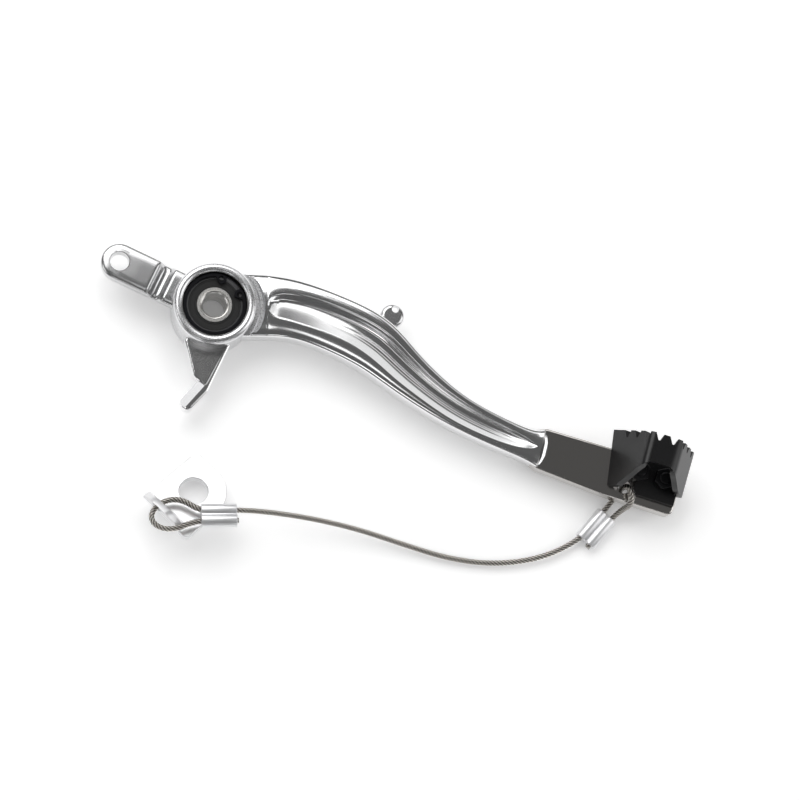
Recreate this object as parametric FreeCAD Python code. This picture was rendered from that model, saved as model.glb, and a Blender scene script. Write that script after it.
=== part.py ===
import FreeCAD, Part
import math
import os

# Motorcycle rear brake pedal with its guard cable and anchor bracket.
#
# A forged arm carries a clevis tab, a bearing hub, a stop hook, a spring lug and a flat bar. A folded, toothed
# steel tip is screwed to the bar. Two sealed ball bearings sit in the hub behind a retaining ring. A braided cable
# runs in a crimped eye through the bar and in a second crimped eye through the tab of a small bracket.
#
# Frame: origin at the middle of the bearing pair on the pivot axis, +Z along that axis to the outboard side,
# +X roughly towards the tip. The pedal lies on its inboard side. Lengths are in millimetres.

Vec = FreeCAD.Vector
UP = Vec(0, 0, 1)
ORIGIN = Vec(0, 0, 0)

# Bearings
BORE_R = 5.0
BEARING_R = 13.0
BEARING_W = 8.0
BEARING_COUNT = 2
LAND_HALF_GAP = 1.6
RING_CHAMFER = 0.4
BALL_R = 2.381
BALL_COUNT = 7
BALL_PLAY = 0.02
SEAL_SEAT_DEPTH = 0.35
SEAL_T = 0.8
SEAL_RECESS = 0.15
SEAL_LIP_GAP = 0.05
CAGE_WALL = 1.4
CAGE_SIDE_LAND = 0.42
CAGE_POCKET_PLAY = 0.05
SEAT_GAP = 0.01

# Hub
HUB_WALL = 4.25
HUB_LIP = 3.5
HUB_SHOULDER_T = 4.0
HUB_SHOULDER_LEDGE = 2.0
HUB_RIM_LAND = 1.05
HUB_BACK_CHAMFER = 1.0
HUB_MOUTH_CHAMFER = 0.6
TURNED_FLOOR_Z = 4.4
TURNED_STEP_RISE = 0.7
TURNED_STEP_W = 1.95
TURNED_W = 3.75

# Retaining ring
CLIP_T = 1.2
CLIP_GROOVE_W = 1.3
CLIP_GROOVE_DEPTH = 0.6
CLIP_PLAY = 0.05
CLIP_WALL = 1.9
CLIP_LUG_R = 2.3
CLIP_LUG_INSET = 1.8
CLIP_HOLE_R = 1.0
CLIP_LUG_ANGLES = (21.0, 75.0)

# Arm: centre of each station, with its half width
ARM_STATIONS = (
    (8.0, 0.6, 13.4),
    (24.5, 0.3, 13.1),
    (38.5, -2.4, 12.5),
    (53.1, -8.1, 12.4),
    (66.5, -15.5, 12.1),
    (78.0, -25.6, 10.4),
    (89.9, -35.6, 8.8),
    (103.1, -44.6, 7.6),
    (118.8, -52.6, 7.0),
    (131.0, -57.7, 7.0),
    (136.6, -59.5, 8.2),
)
ARM_FACE_Z = 6.5
ARM_BACK_Z = -5.5
ARM_FACE_DROP = 3.0
ARM_BACK_DROP = 1.5
ARM_DROP_START = 3.0
ARM_DROP_END = 9.0
ARM_FACE_ROUND = 3.0
ARM_BACK_ROUND = 1.5

# Flute: station, half width towards the upper edge, half width towards the lower edge, depth
OUTER_FLUTE = (
    (0.82, 0.6, 0.6, -0.5),
    (0.98, 4.4, 4.0, 1.3),
    (1.3, 6.3, 5.0, 2.3),
    (2.0, 6.9, 5.6, 2.6),
    (3.0, 7.3, 5.4, 2.6),
    (4.0, 7.4, 6.0, 2.6),
    (5.0, 6.4, 5.8, 2.5),
    (6.0, 5.3, 5.2, 2.3),
    (7.0, 4.8, 4.9, 2.0),
    (8.0, 4.1, 4.3, 1.6),
    (8.6, 3.2, 3.7, 1.2),
    (9.1, 1.9, 2.5, 0.6),
    (9.5, 0.4, 0.8, -0.5),
)
INNER_FLUTE = (
    (1.15, 0.4, 0.6, 1.2),
    (1.4, 2.2, 2.6, 3.4),
    (2.0, 3.6, 2.9, 4.2),
    (3.0, 4.0, 2.6, 4.3),
    (4.0, 4.0, 3.0, 4.3),
    (5.0, 3.2, 3.0, 4.1),
    (6.0, 2.6, 2.6, 3.7),
    (7.0, 2.2, 2.3, 3.2),
    (7.8, 1.2, 1.6, 2.4),
    (8.2, 0.3, 0.5, 1.0),
)
FLUTE_WALL_SLOPE = 0.8
FLUTE_OVERCUT = 1.0

# Clevis tab, along its own radius from the pivot
TAB_ANGLE = 154.0
TAB_HOLE_AT_R = 43.2
TAB_HOLE_R = 4.0
TAB_HALF_W = 7.7
TAB_FACE_Z = 4.8
TAB_BACK_Z = -2.4
TAB_NECK_Z = 1.6
TAB_RIM_Z = 4.0
TAB_RIM_W = 3.15
TAB_VALLEY_W = 6.75
TAB_BLOCK_W = 10.95
TAB_ROUND = 1.3

# Stop hook below the hub
HOOK_LEFT = Vec(-12.3, -14.2, 0)
HOOK_RIGHT = Vec(6.6, -16.8, 0)
HOOK_ROOT_LEFT = Vec(-9.0, -28.6, 0)
HOOK_CROOK = Vec(-6.9, -31.0, 0)
HOOK_ELBOW = Vec(-2.7, -35.6, 0)
HOOK_FINGER_ANGLE = 221.0
HOOK_FINGER_LENGTH = 10.0
HOOK_FINGER_R = 2.9
HOOK_FACE_Z = 3.0
HOOK_BACK_Z = -4.5
HOOK_POCKET_DEPTH = 0.9
HOOK_RIM = 1.3
HOOK_ROUND = 0.9

# Spring lug on the upper edge of the arm
LUG_CENTRE = Vec(75.3, -3.0, 0)
LUG_R = 5.0
LUG_FACE_Z = 1.6
LUG_BACK_Z = -3.0
LUG_EYE = Vec(76.6, -0.2, 0)
LUG_EYE_R = 1.5
LUG_ROUND = 0.8

# Flat bar, along its own direction from the shoulder
BAR_SHOULDER_GAP = 0.8
BAR_ANGLE = -18.0
BAR_LENGTH = 60.8
BAR_ROOT_HALF_W = 8.9
BAR_TAPER_END = 30.0
BAR_UPPER_V = 9.5
BAR_LOWER_V = -10.8
BAR_FACE_Z = 1.0
BAR_T = 8.0
BAR_OVERLAP = 4.0
BAR_CORNER_R = 2.6
BAR_EDGE = 0.5
SHOULDER_FILLET_R = 2.4
SHOULDER_INSET = 1.2
BAR_HOLE_BACK = 22.9
BAR_HOLE_V = -4.9
BAR_HOLE_R = 2.8

# Foot tip: a folded strip around a trapezoid, with its places along the bar measured back from the bar's end
TIP_T = 2.5
TIP_HEIGHT = 20.5
TIP_CROWN_BACK = 21.0
TIP_CROWN_LENGTH = 13.4
TIP_OVERHANG = 3.6
TIP_FOOT_BACK_LOW = 30.2
TIP_FOOT_BACK_HIGH = 33.8
TIP_LOW_V = -6.4
TIP_HIGH_V = 17.2
TIP_BEND_R = 3.4
TIP_BASE_LOW_V = -7.0
TIP_BASE_HIGH_V = 9.2
TIP_RELIEF_BACK = 19.6
TIP_RELIEF_V = -1.2
TIP_SEAM = 0.4
TIP_ARCH = ((-28.2, -6.4), (-25.6, -3.6), (-21.4, 2.2), (-16.8, 4.8), (-10.2, 4.9), (-5.4, 1.4), (-1.4, -2.4))
TIP_END_LOW_V = -2.6
TOOTH_PITCH = 6.15
TOOTH_FIRST = 9.0
TOOTH_COUNT = 8
TOOTH_DEPTH = 3.0
TOOTH_GAP_TOP = 3.6
TOOTH_GAP_ROOT = 0.7

# Screws and nuts of the tip
SCREW_R = 2.5
SCREW_HEAD_R = 4.25
SCREW_HEAD_H = 5.0
SCREW_HOLE_GAP = 0.15
SCREW_SOCKET_AF = 4.0
SCREW_SOCKET_DEPTH = 2.5
SCREW_BACKS = (19.2, 8.2)
SCREW_V = 2.6
SCREW_PROUD = 1.0
NUT_AF = 8.0
NUT_H = 4.0

# Cable and ferrules
CABLE_R = 1.3
FERRULE_R = 2.75
FERRULE_LENGTH = 14.8
FERRULE_BORE_GAP = 0.03
FERRULE_EDGE = 0.3

# Anchor bracket, in its own flat frame with the origin at its hole
BRACKET_T = 3.0
BRACKET_HOLE_R = 6.1
BRACKET_FOLD_D = -17.4
BRACKET_END_D = 13.6
BRACKET_LOW_N = -13.5
BRACKET_HIGH_N = 12.0
BRACKET_BIG_CORNER_R = 13.0
BRACKET_SMALL_CORNER_R = 2.0
BRACKET_BEND_R = 1.0
BRACKET_TAB_HEIGHT = 7.2
BRACKET_TAB_LEAN = 1.6
BRACKET_TAB_BASE = (-8.6, 12.0)
BRACKET_TAB_TOP = (-3.0, 6.6)
BRACKET_TAB_CORNER_R = 1.5
BRACKET_EYE_N = 3.9
BRACKET_EYE_Z = 3.7
BRACKET_EYE_R = 2.5
BRACKET_TURN = 42.7
BRACKET_TILT = 18.0
BRACKET_X = -8.8
BRACKET_Y = -76.2

# Cable route: control points chosen by hand
CABLE_ROUTE = (
    (157.1, -100.3, -9.25),
    (162.8, -94.1, -9.15),
    (168.8, -87.4, -9.25),
    (172.3, -84.6, -4.0),
    (173.4, -84.4, 3.0),
    (174.3, -80.6, 6.4),
    (173.1, -76.6, 5.2),
    (171.9, -75.9, 0.2),
    (171.8, -76.1, -5.2),
    (170.9, -77.9, -9.1),
    (165.3, -84.5, -9.25),
    (159.3, -91.0, -9.15),
    (153.7, -97.2, -9.25),
    (138.0, -104.6, -9.5),
    (118.0, -107.2, -9.9),
    (98.0, -104.6, -9.7),
    (79.0, -98.6, -8.6),
    (60.0, -92.4, -6.4),
    (41.5, -88.4, -3.2),
    (25.5, -86.3, 0.6),
    (12.5, -85.3, 3.0),
    (2.4, -85.3, 3.1),
    (-7.0, -85.3, 3.0),
    (-14.4, -80.2, 1.3),
    (-21.6, -81.0, 1.6),
    (-26.8, -85.8, 3.2),
    (-26.2, -91.2, 4.8),
    (-19.2, -94.0, 5.8),
    (-8.0, -89.7, 4.4),
    (0.6, -89.7, 4.5),
    (9.0, -89.7, 4.4),
)

# Values worked out from those above
STACK_HALF = BEARING_W * BEARING_COUNT / 2
HUB_FACE_Z = STACK_HALF + HUB_LIP
HUB_BACK_Z = -STACK_HALF - HUB_SHOULDER_T
TABLE_Z = HUB_BACK_Z
HUB_R = BEARING_R + HUB_WALL
HUB_CROWN_R = (HUB_WALL - HUB_RIM_LAND) / 2
HUB_SHOULDER_R = BEARING_R - HUB_SHOULDER_LEDGE
TURNED_STEP_R = HUB_R + TURNED_STEP_W
TURNED_R = HUB_R + TURNED_W
TAB_RIM_R = HUB_R + TAB_RIM_W
TAB_VALLEY_R = HUB_R + TAB_VALLEY_W
TAB_BLOCK_R = HUB_R + TAB_BLOCK_W
CLIP_GROOVE_R = BEARING_R + CLIP_GROOVE_DEPTH
CLIP_LUG_AT_R = BEARING_R - CLIP_LUG_INSET
BAR_BACK_Z = BAR_FACE_Z - BAR_T
BAR_START = Vec(ARM_STATIONS[-1][0] + BAR_SHOULDER_GAP, ARM_STATIONS[-1][1] - 0.1, 0)
PITCH_R = (BORE_R + BEARING_R) / 2
INNER_SHOULDER_R = PITCH_R - LAND_HALF_GAP
OUTER_SHOULDER_R = PITCH_R + LAND_HALF_GAP
CAGE_HALF_WIDTH = BALL_R + CAGE_SIDE_LAND
SEAL_R = OUTER_SHOULDER_R + SEAL_SEAT_DEPTH
BAR_HOLE_U = BAR_LENGTH - BAR_HOLE_BACK
SCREW_US = tuple(BAR_LENGTH - back for back in SCREW_BACKS)
TIP_CROWN_U0 = BAR_LENGTH - TIP_CROWN_BACK
TIP_CROWN_U1 = TIP_CROWN_U0 + TIP_CROWN_LENGTH
TIP_END_U = BAR_LENGTH + TIP_OVERHANG
TIP_FOOT_U_LOW = BAR_LENGTH - TIP_FOOT_BACK_LOW
TIP_FOOT_U_HIGH = BAR_LENGTH - TIP_FOOT_BACK_HIGH
TIP_RELIEF_U = BAR_LENGTH - TIP_RELIEF_BACK
TIP_TOP_Z = BAR_FACE_Z + TIP_HEIGHT
BASE_TOP_Z = BAR_FACE_Z + TIP_T


def ring(r_in, r_out, z0, z1):
    """A plain ring about the pivot axis."""
    outer = Part.makeCylinder(r_out, z1 - z0, Vec(0, 0, z0))
    return outer.cut(Part.makeCylinder(r_in, z1 - z0, Vec(0, 0, z0)))


def revolve(points):
    """A closed outline of (radius, height) points turned about the pivot axis."""
    corners = [Vec(r, 0, z) for r, z in points]
    face = Part.Face(Part.makePolygon(corners + corners[:1]))
    return face.revolve(ORIGIN, UP, 360)


def prism(points, z0, z1):
    """A closed plan outline raised from z0 to z1."""
    corners = [Vec(p.x, p.y, z0) for p in points]
    return Part.Face(Part.makePolygon(corners + corners[:1])).extrude(Vec(0, 0, z1 - z0))


def polar(radius, degrees, z=0.0):
    """A point at that distance and angle from the pivot axis."""
    angle = math.radians(degrees)
    return Vec(radius * math.cos(angle), radius * math.sin(angle), z)


def upright_edges(shape, near, reach):
    """The vertical edges that pass within reach of any of the plan points."""
    found = []
    for edge in shape.Edges:
        a, b = edge.Vertexes[0].Point, edge.Vertexes[-1].Point
        flat = math.hypot(a.x - b.x, a.y - b.y)
        if flat < 1e-6 and any(math.hypot(a.x - p.x, a.y - p.y) < reach for p in near):
            found.append(edge)
    return found


def level_edges(shape, z):
    """The edges that lie at that height."""
    return [e for e in shape.Edges if abs(e.BoundBox.ZMin - z) < 1e-4 and abs(e.BoundBox.ZMax - z) < 1e-4]


# The arm's centreline and its sections

def arm_curves():
    """The smooth centreline and the smooth half width, both by station number."""
    numbers = [float(i) for i in range(len(ARM_STATIONS))]
    line = Part.BSplineCurve()
    line.interpolate(Points=[Vec(x, y, 0) for x, y, _ in ARM_STATIONS], Parameters=numbers)
    width = Part.BSplineCurve()
    halves = [Vec(i, row[2], 0) for i, row in zip(numbers, ARM_STATIONS)]
    width.interpolate(Points=halves, Parameters=numbers)
    return line, width


ARM_LINE, ARM_WIDTH = arm_curves()


def ease(station):
    """From 0 to 1 along the stretch where the arm drops towards the bar."""
    t = (station - ARM_DROP_START) / (ARM_DROP_END - ARM_DROP_START)
    t = min(max(t, 0.0), 1.0)
    return t * t * (3 - 2 * t)


def face_z(station):
    return ARM_FACE_Z - ARM_FACE_DROP * ease(station)


def back_z(station):
    return ARM_BACK_Z - ARM_BACK_DROP * ease(station)


def across(station, offset, z):
    """A point at that sideways offset from the centreline, positive towards the upper edge."""
    tangent = ARM_LINE.tangent(station)[0]
    side = Vec(-tangent.y, tangent.x, 0)
    return ARM_LINE.value(station) + side * offset + Vec(0, 0, z)


def rounded_section(station):
    """The arm's section: a flat bar with rounded long edges."""
    half = ARM_WIDTH.value(station).y
    top, low = face_z(station), back_z(station)
    a, b = ARM_FACE_ROUND, ARM_BACK_ROUND
    cut_a, cut_b = a * (1 - math.sqrt(0.5)), b * (1 - math.sqrt(0.5))

    def at(t, z):
        return across(station, t, z)

    edges = [
        Part.LineSegment(at(half, low + b), at(half, top - a)),
        Part.Arc(at(half, top - a), at(half - cut_a, top - cut_a), at(half - a, top)),
        Part.LineSegment(at(half - a, top), at(a - half, top)),
        Part.Arc(at(a - half, top), at(cut_a - half, top - cut_a), at(-half, top - a)),
        Part.LineSegment(at(-half, top - a), at(-half, low + b)),
        Part.Arc(at(-half, low + b), at(cut_b - half, low + cut_b), at(b - half, low)),
        Part.LineSegment(at(b - half, low), at(half - b, low)),
        Part.Arc(at(half - b, low), at(half - cut_b, low + cut_b), at(half, low + b)),
    ]
    return Part.Wire([e.toShape() for e in edges])


def flute_section(station, upper, lower, depth):
    """A sloped trough: its mouth stands above the face and its floor lies at the depth."""
    z = face_z(station)
    mouth = FLUTE_WALL_SLOPE * FLUTE_OVERCUT
    floor = FLUTE_WALL_SLOPE * max(depth, 0.0)
    floor_up = max(upper - floor, 0.35 * upper)
    floor_low = max(lower - floor, 0.35 * lower)
    corners = [
        across(station, upper + mouth, z + FLUTE_OVERCUT),
        across(station, -lower - mouth, z + FLUTE_OVERCUT),
        across(station, -floor_low, z - depth),
        across(station, floor_up, z - depth),
    ]
    return Part.makePolygon(corners + corners[:1])


def blade():
    body = Part.makeLoft([rounded_section(float(i)) for i in range(len(ARM_STATIONS))], True, False)
    for rows in (OUTER_FLUTE, INNER_FLUTE):
        trough = Part.makeLoft([flute_section(*row) for row in rows], True, True)
        body = body.cut(trough)
    return body


# The other stretches of the forging

def hub_body():
    """The hub's outer form with its rounded rim."""
    crown, face = HUB_CROWN_R, HUB_FACE_Z
    lines = [
        Vec(0, 0, HUB_BACK_Z),
        Vec(HUB_R - HUB_BACK_CHAMFER, 0, HUB_BACK_Z),
        Vec(HUB_R, 0, HUB_BACK_Z + HUB_BACK_CHAMFER),
        Vec(HUB_R, 0, face - crown),
    ]
    inner = Vec(HUB_R - 2 * crown, 0, face - crown)
    edges = [Part.LineSegment(a, b).toShape() for a, b in zip(lines, lines[1:])]
    edges.append(Part.Arc(lines[-1], Vec(HUB_R - crown, 0, face), inner).toShape())
    edges.append(Part.LineSegment(inner, Vec(0, 0, face - crown)).toShape())
    edges.append(Part.LineSegment(Vec(0, 0, face - crown), lines[0]).toShape())
    return Part.Face(Part.Wire(edges)).revolve(ORIGIN, UP, 360)


def turned_relief():
    """The stepped ring that the hub's tool leaves around the rim."""
    step_z = TURNED_FLOOR_Z + TURNED_STEP_RISE
    high = HUB_FACE_Z
    return revolve([
        (HUB_R - 1, TURNED_FLOOR_Z), (TURNED_STEP_R, TURNED_FLOOR_Z), (TURNED_STEP_R, step_z),
        (TURNED_R, step_z), (TURNED_R + high - step_z, high), (HUB_R - 1, high),
    ])


def hub_cavity():
    """Bearing seat, retaining ring groove, back shoulder and mouth chamfer."""
    seat_r = BEARING_R + SEAT_GAP
    mouth_z = HUB_FACE_Z - HUB_CROWN_R
    seat = Part.makeCylinder(seat_r, HUB_LIP + 2 * STACK_HALF, Vec(0, 0, -STACK_HALF))
    groove = Part.makeCylinder(CLIP_GROOVE_R, CLIP_GROOVE_W, Vec(0, 0, STACK_HALF))
    back = Part.makeCylinder(HUB_SHOULDER_R, HUB_SHOULDER_T + 1, Vec(0, 0, HUB_BACK_Z - 1))
    cone_at = Vec(0, 0, mouth_z - HUB_MOUTH_CHAMFER)
    cone = Part.makeCone(seat_r, seat_r + HUB_MOUTH_CHAMFER, HUB_MOUTH_CHAMFER, cone_at)
    wide = Part.makeCylinder(seat_r + HUB_MOUTH_CHAMFER, HUB_CROWN_R + 1, Vec(0, 0, mouth_z))
    back_cone = Part.makeCone(HUB_SHOULDER_R + HUB_MOUTH_CHAMFER, HUB_SHOULDER_R, HUB_MOUTH_CHAMFER,
                              Vec(0, 0, HUB_BACK_Z))
    return seat.fuse([groove, back, cone, wide, back_cone])


def tab_body():
    """The clevis tab: its plan outline met by its side profile."""
    reach = TAB_HOLE_AT_R + TAB_HALF_W
    side = [
        Vec(0, 0, TAB_BACK_Z), Vec(reach + 1, 0, TAB_BACK_Z), Vec(reach + 1, 0, TAB_FACE_Z),
        Vec(TAB_BLOCK_R, 0, TAB_FACE_Z), Vec(TAB_VALLEY_R + 1.2, 0, TAB_NECK_Z),
        Vec(TAB_VALLEY_R - 1.2, 0, TAB_NECK_Z), Vec(TAB_RIM_R, 0, TAB_RIM_Z), Vec(0, 0, TAB_RIM_Z),
    ]
    profile = Part.Face(Part.makePolygon(side + side[:1]))
    profile.translate(Vec(0, -2 * TAB_HALF_W, 0))
    slab = profile.extrude(Vec(0, 4 * TAB_HALF_W, 0))
    blend = [e for e in slab.Edges if e.BoundBox.YLength > TAB_HALF_W and e.BoundBox.ZMax > TAB_BACK_Z + 1
             and TAB_RIM_R - 0.5 < e.BoundBox.XMin < TAB_BLOCK_R + 0.5]
    slab = slab.makeFillet(TAB_ROUND, blend)
    block = Part.makeBox(TAB_HOLE_AT_R, 2 * TAB_HALF_W, 40, Vec(0, -TAB_HALF_W, -20))
    plan = block.fuse(Part.makeCylinder(TAB_HALF_W, 40, Vec(TAB_HOLE_AT_R, 0, -20))).removeSplitter()
    tab = slab.common(plan)
    top = [e for e in level_edges(tab, TAB_FACE_Z) if e.BoundBox.XMax > TAB_BLOCK_R + 3]
    low = [e for e in level_edges(tab, TAB_BACK_Z) if e.BoundBox.XMax > TAB_BLOCK_R]
    tab = tab.makeFillet(TAB_ROUND, top + low)
    tab = tab.cut(Part.makeCylinder(TAB_HOLE_R, 40, Vec(TAB_HOLE_AT_R, 0, -20)))
    tab.rotate(ORIGIN, UP, TAB_ANGLE)
    return tab


def hook_body():
    """The web below the hub and the finger that stops the stroke."""
    along = polar(1, HOOK_FINGER_ANGLE)
    side = Vec(-along.y, along.x, 0)
    tip = HOOK_ELBOW + along * (HOOK_FINGER_LENGTH + HOOK_FINGER_R)
    outer = tip + side * 0.2
    inner = outer - side * (2 * HOOK_FINGER_R)
    root = Vec(0, -8, 0)
    outline = [root + Vec(-10, 0, 0), HOOK_LEFT, HOOK_ROOT_LEFT, HOOK_CROOK, inner, outer, HOOK_ELBOW, HOOK_RIGHT,
               root + Vec(8, 0, 0)]
    web = prism(outline, HOOK_BACK_Z, HOOK_FACE_Z)
    web = web.makeFillet(HOOK_FINGER_R * 0.96, upright_edges(web, [inner, outer], 0.1))
    web = web.makeFillet(4.0, upright_edges(web, [HOOK_ELBOW], 0.1))
    web = web.makeFillet(1.2, upright_edges(web, [HOOK_CROOK, HOOK_ROOT_LEFT], 0.1))
    long_edges = [e for e in level_edges(web, HOOK_FACE_Z) + level_edges(web, HOOK_BACK_Z)
                  if e.BoundBox.YMin < root.y - 1]
    web = web.makeFillet(HOOK_ROUND, long_edges)
    rim = HOOK_RIM
    pocket = [HOOK_LEFT + Vec(rim, 0, 0), HOOK_ROOT_LEFT + Vec(rim, 0.8, 0), HOOK_CROOK + Vec(rim, 0.6, 0),
              HOOK_RIGHT + Vec(-rim * 1.4, 0, 0)]
    return web.cut(prism(pocket, HOOK_FACE_Z - HOOK_POCKET_DEPTH, HOOK_FACE_Z + 1))


def lug_body():
    """The small ear for the return spring."""
    height = LUG_FACE_Z - LUG_BACK_Z
    ear = Part.makeCylinder(LUG_R, height, LUG_CENTRE + Vec(0, 0, LUG_BACK_Z))
    return ear.makeFillet(LUG_ROUND, level_edges(ear, LUG_FACE_Z) + level_edges(ear, LUG_BACK_Z))


def lug_eye():
    return Part.makeCylinder(LUG_EYE_R, 40, LUG_EYE + Vec(0, 0, -20))


def bar_place():
    """Where the bar's own directions lie in the pedal's frame."""
    return FreeCAD.Placement(BAR_START, FreeCAD.Rotation(UP, BAR_ANGLE))


def bar_body():
    half = BAR_ROOT_HALF_W
    outline = [
        Vec(-BAR_OVERLAP, half - 1.6, 0), Vec(0, half, 0), Vec(BAR_TAPER_END, BAR_UPPER_V, 0),
        Vec(BAR_LENGTH, BAR_UPPER_V, 0), Vec(BAR_LENGTH, BAR_LOWER_V, 0), Vec(BAR_TAPER_END, BAR_LOWER_V, 0),
        Vec(0, -half, 0), Vec(-BAR_OVERLAP, 1.6 - half, 0),
    ]
    bar = prism(outline, BAR_BACK_Z, BAR_FACE_Z)
    bar = bar.makeFillet(BAR_CORNER_R, upright_edges(bar, [outline[3], outline[4]], 0.1))
    rim = [e for e in level_edges(bar, BAR_FACE_Z) + level_edges(bar, BAR_BACK_Z) if e.BoundBox.XMax > 1]
    return bar.makeChamfer(BAR_EDGE, rim)


def shoulder_fillet():
    """The hollow rounding between the blade's end and the bar's face, in the bar's own directions."""
    r, half = SHOULDER_FILLET_R, ARM_STATIONS[-1][2] - SHOULDER_INSET
    high = BAR_FACE_Z + r
    bow = r * (1 - math.sqrt(0.5))
    back = -BAR_SHOULDER_GAP - 1.0
    corners = [Vec(0, 0, high), Vec(back, 0, high), Vec(back, 0, BAR_FACE_Z - 1), Vec(r, 0, BAR_FACE_Z - 1),
               Vec(r, 0, BAR_FACE_Z)]
    edges = [Part.LineSegment(a, b).toShape() for a, b in zip(corners, corners[1:])]
    edges.append(Part.Arc(corners[-1], Vec(bow, 0, BAR_FACE_Z + bow), corners[0]).toShape())
    wedge = Part.Face(Part.Wire(edges)).extrude(Vec(0, 2 * half, 0))
    wedge.translate(Vec(0, -half, 0))
    return wedge


def bar_holes():
    """The cable's hole and the screws' holes, in the bar's own directions."""
    holes = [Part.makeCylinder(BAR_HOLE_R, 40, Vec(BAR_HOLE_U, BAR_HOLE_V, -20))]
    for u in SCREW_US:
        holes.append(Part.makeCylinder(SCREW_R + SCREW_HOLE_GAP, 40, Vec(u, SCREW_V, -20)))
    return holes


def pedal_arm():
    bar = bar_body().fuse(shoulder_fillet()).cut(bar_holes())
    bar.Placement = bar_place()
    forged = blade().fuse([tab_body(), hook_body(), lug_body()])
    forged = forged.cut(turned_relief())
    forged = forged.fuse([hub_body(), bar])
    return forged.cut([hub_cavity(), lug_eye()]).removeSplitter()


# Foot tip

def trapezoid(v, inset):
    """The strip's outline across the bar at that sideways place, moved in by the inset."""
    share = (v - TIP_LOW_V) / (TIP_HIGH_V - TIP_LOW_V)
    foot = TIP_FOOT_U_LOW + (TIP_FOOT_U_HIGH - TIP_FOOT_U_LOW) * share
    rise_lean = math.atan2(TIP_HEIGHT, TIP_CROWN_U0 - foot)
    fall_lean = math.atan2(TIP_HEIGHT, TIP_END_U - TIP_CROWN_U1)
    foot_in = inset / math.tan(rise_lean / 2)
    end_in = inset / math.tan(fall_lean / 2)
    crown_in0 = inset * math.tan(rise_lean / 2)
    crown_in1 = inset * math.tan(fall_lean / 2)
    low, top = BAR_FACE_Z + inset, TIP_TOP_Z - inset
    return [Vec(foot + foot_in, v, low), Vec(TIP_CROWN_U0 + crown_in0, v, top),
            Vec(TIP_CROWN_U1 - crown_in1, v, top), Vec(TIP_END_U - end_in, v, low)]


def strip_block(inset, beyond):
    """The trapezoid carried across the bar, with rounded bends."""
    wires = []
    for v in (TIP_BASE_LOW_V - beyond, TIP_HIGH_V + beyond):
        corners = trapezoid(v, inset)
        wires.append(Part.makePolygon(corners + corners[:1]))
    block = Part.makeLoft(wires, True, True)
    radius = TIP_BEND_R if inset == 0 else TIP_BEND_R - TIP_T
    bends = [e for e in block.Edges if e.BoundBox.YLength > 15 and e.BoundBox.XMin > TIP_FOOT_U_LOW + 4]
    return block.makeFillet(radius, bends)


def arch_cut():
    """Everything below the arched lower edge of the walls, above the base."""
    arch = [Vec(BAR_LENGTH + u, v, 0) for u, v in TIP_ARCH]
    curve = Part.BSplineCurve()
    curve.interpolate(arch)
    floor_v = TIP_BASE_LOW_V - 4
    corners = [
        arch[-1], Vec(TIP_END_U + 4, TIP_END_LOW_V, 0), Vec(TIP_END_U + 4, floor_v, 0),
        Vec(TIP_FOOT_U_HIGH - 4, floor_v, 0), Vec(TIP_FOOT_U_HIGH - 4, TIP_LOW_V, 0), arch[0],
    ]
    edges = [curve.toShape()] + [Part.LineSegment(a, b).toShape() for a, b in zip(corners, corners[1:])]
    tool = Part.Face(Part.Wire(Part.sortEdges(edges)[0])).extrude(Vec(0, 0, TIP_HEIGHT + 4))
    tool.translate(Vec(0, 0, BASE_TOP_Z + 0.01))
    foot = Part.makeBox(TIP_CROWN_U0 - TIP_FOOT_U_HIGH, TIP_LOW_V - floor_v, TIP_T + 1,
                        Vec(TIP_FOOT_U_HIGH - 4, floor_v, BAR_FACE_Z - 0.5))
    return tool, foot


def tooth_cuts():
    """The notches between the teeth, spaced evenly along the folded strip."""
    path = trapezoid(TIP_HIGH_V, 0)
    cuts = []
    for number in range(TOOTH_COUNT):
        left = TOOTH_FIRST + number * TOOTH_PITCH
        for a, b in zip(path, path[1:]):
            run = (b - a).Length
            if left <= run:
                break
            left -= run
        along = (b - a) * (1 / run)
        normal = Vec(-along.z, 0, along.x)
        centre = a + along * left
        half_top, half_root = TOOTH_GAP_TOP / 2 + 0.3, TOOTH_GAP_ROOT / 2
        mouth, root = Vec(0, 0.5, 0), Vec(0, -TOOTH_DEPTH, 0)
        corners = [centre + mouth - along * half_top, centre + mouth + along * half_top,
                   centre + root + along * half_root, centre + root - along * half_root]
        corners = [c - normal * (2 * TIP_T) for c in corners]
        face = Part.Face(Part.makePolygon(corners + corners[:1]))
        cuts.append(face.extrude(normal * (4 * TIP_T)))
    return cuts


def foot_tip():
    shell = strip_block(0, 0).cut(strip_block(TIP_T, 1))
    inner_foot = trapezoid(TIP_LOW_V, TIP_T)[0].x
    far = 40
    seam_u = inner_foot - TIP_T
    seam = Part.makeBox(TIP_SEAM, far, TIP_T, Vec(seam_u, -far / 2, BAR_FACE_Z))
    arch, foot = arch_cut()
    base_upper = Part.makeBox(TIP_END_U - TIP_FOOT_U_LOW - 8, far, TIP_T + 0.02,
                              Vec(seam_u, TIP_BASE_HIGH_V, BAR_FACE_Z - 0.01))
    relief_at = Vec(seam_u, -far, BAR_FACE_Z - 0.01)
    relief = Part.makeBox(TIP_RELIEF_U - seam_u, TIP_RELIEF_V + far, TIP_T + 0.02, relief_at)
    shell = shell.cut([seam, arch, foot, base_upper, relief] + tooth_cuts() + bar_holes()[1:])
    shell.Placement = bar_place()
    return shell


def hexagon(across_flats, z0, z1, centre):
    """A hexagonal bar standing at that place."""
    radius = across_flats / math.sqrt(3)
    points = [centre + polar(radius, 60 * i + 30) for i in range(6)]
    return prism(points, z0, z1)


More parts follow.
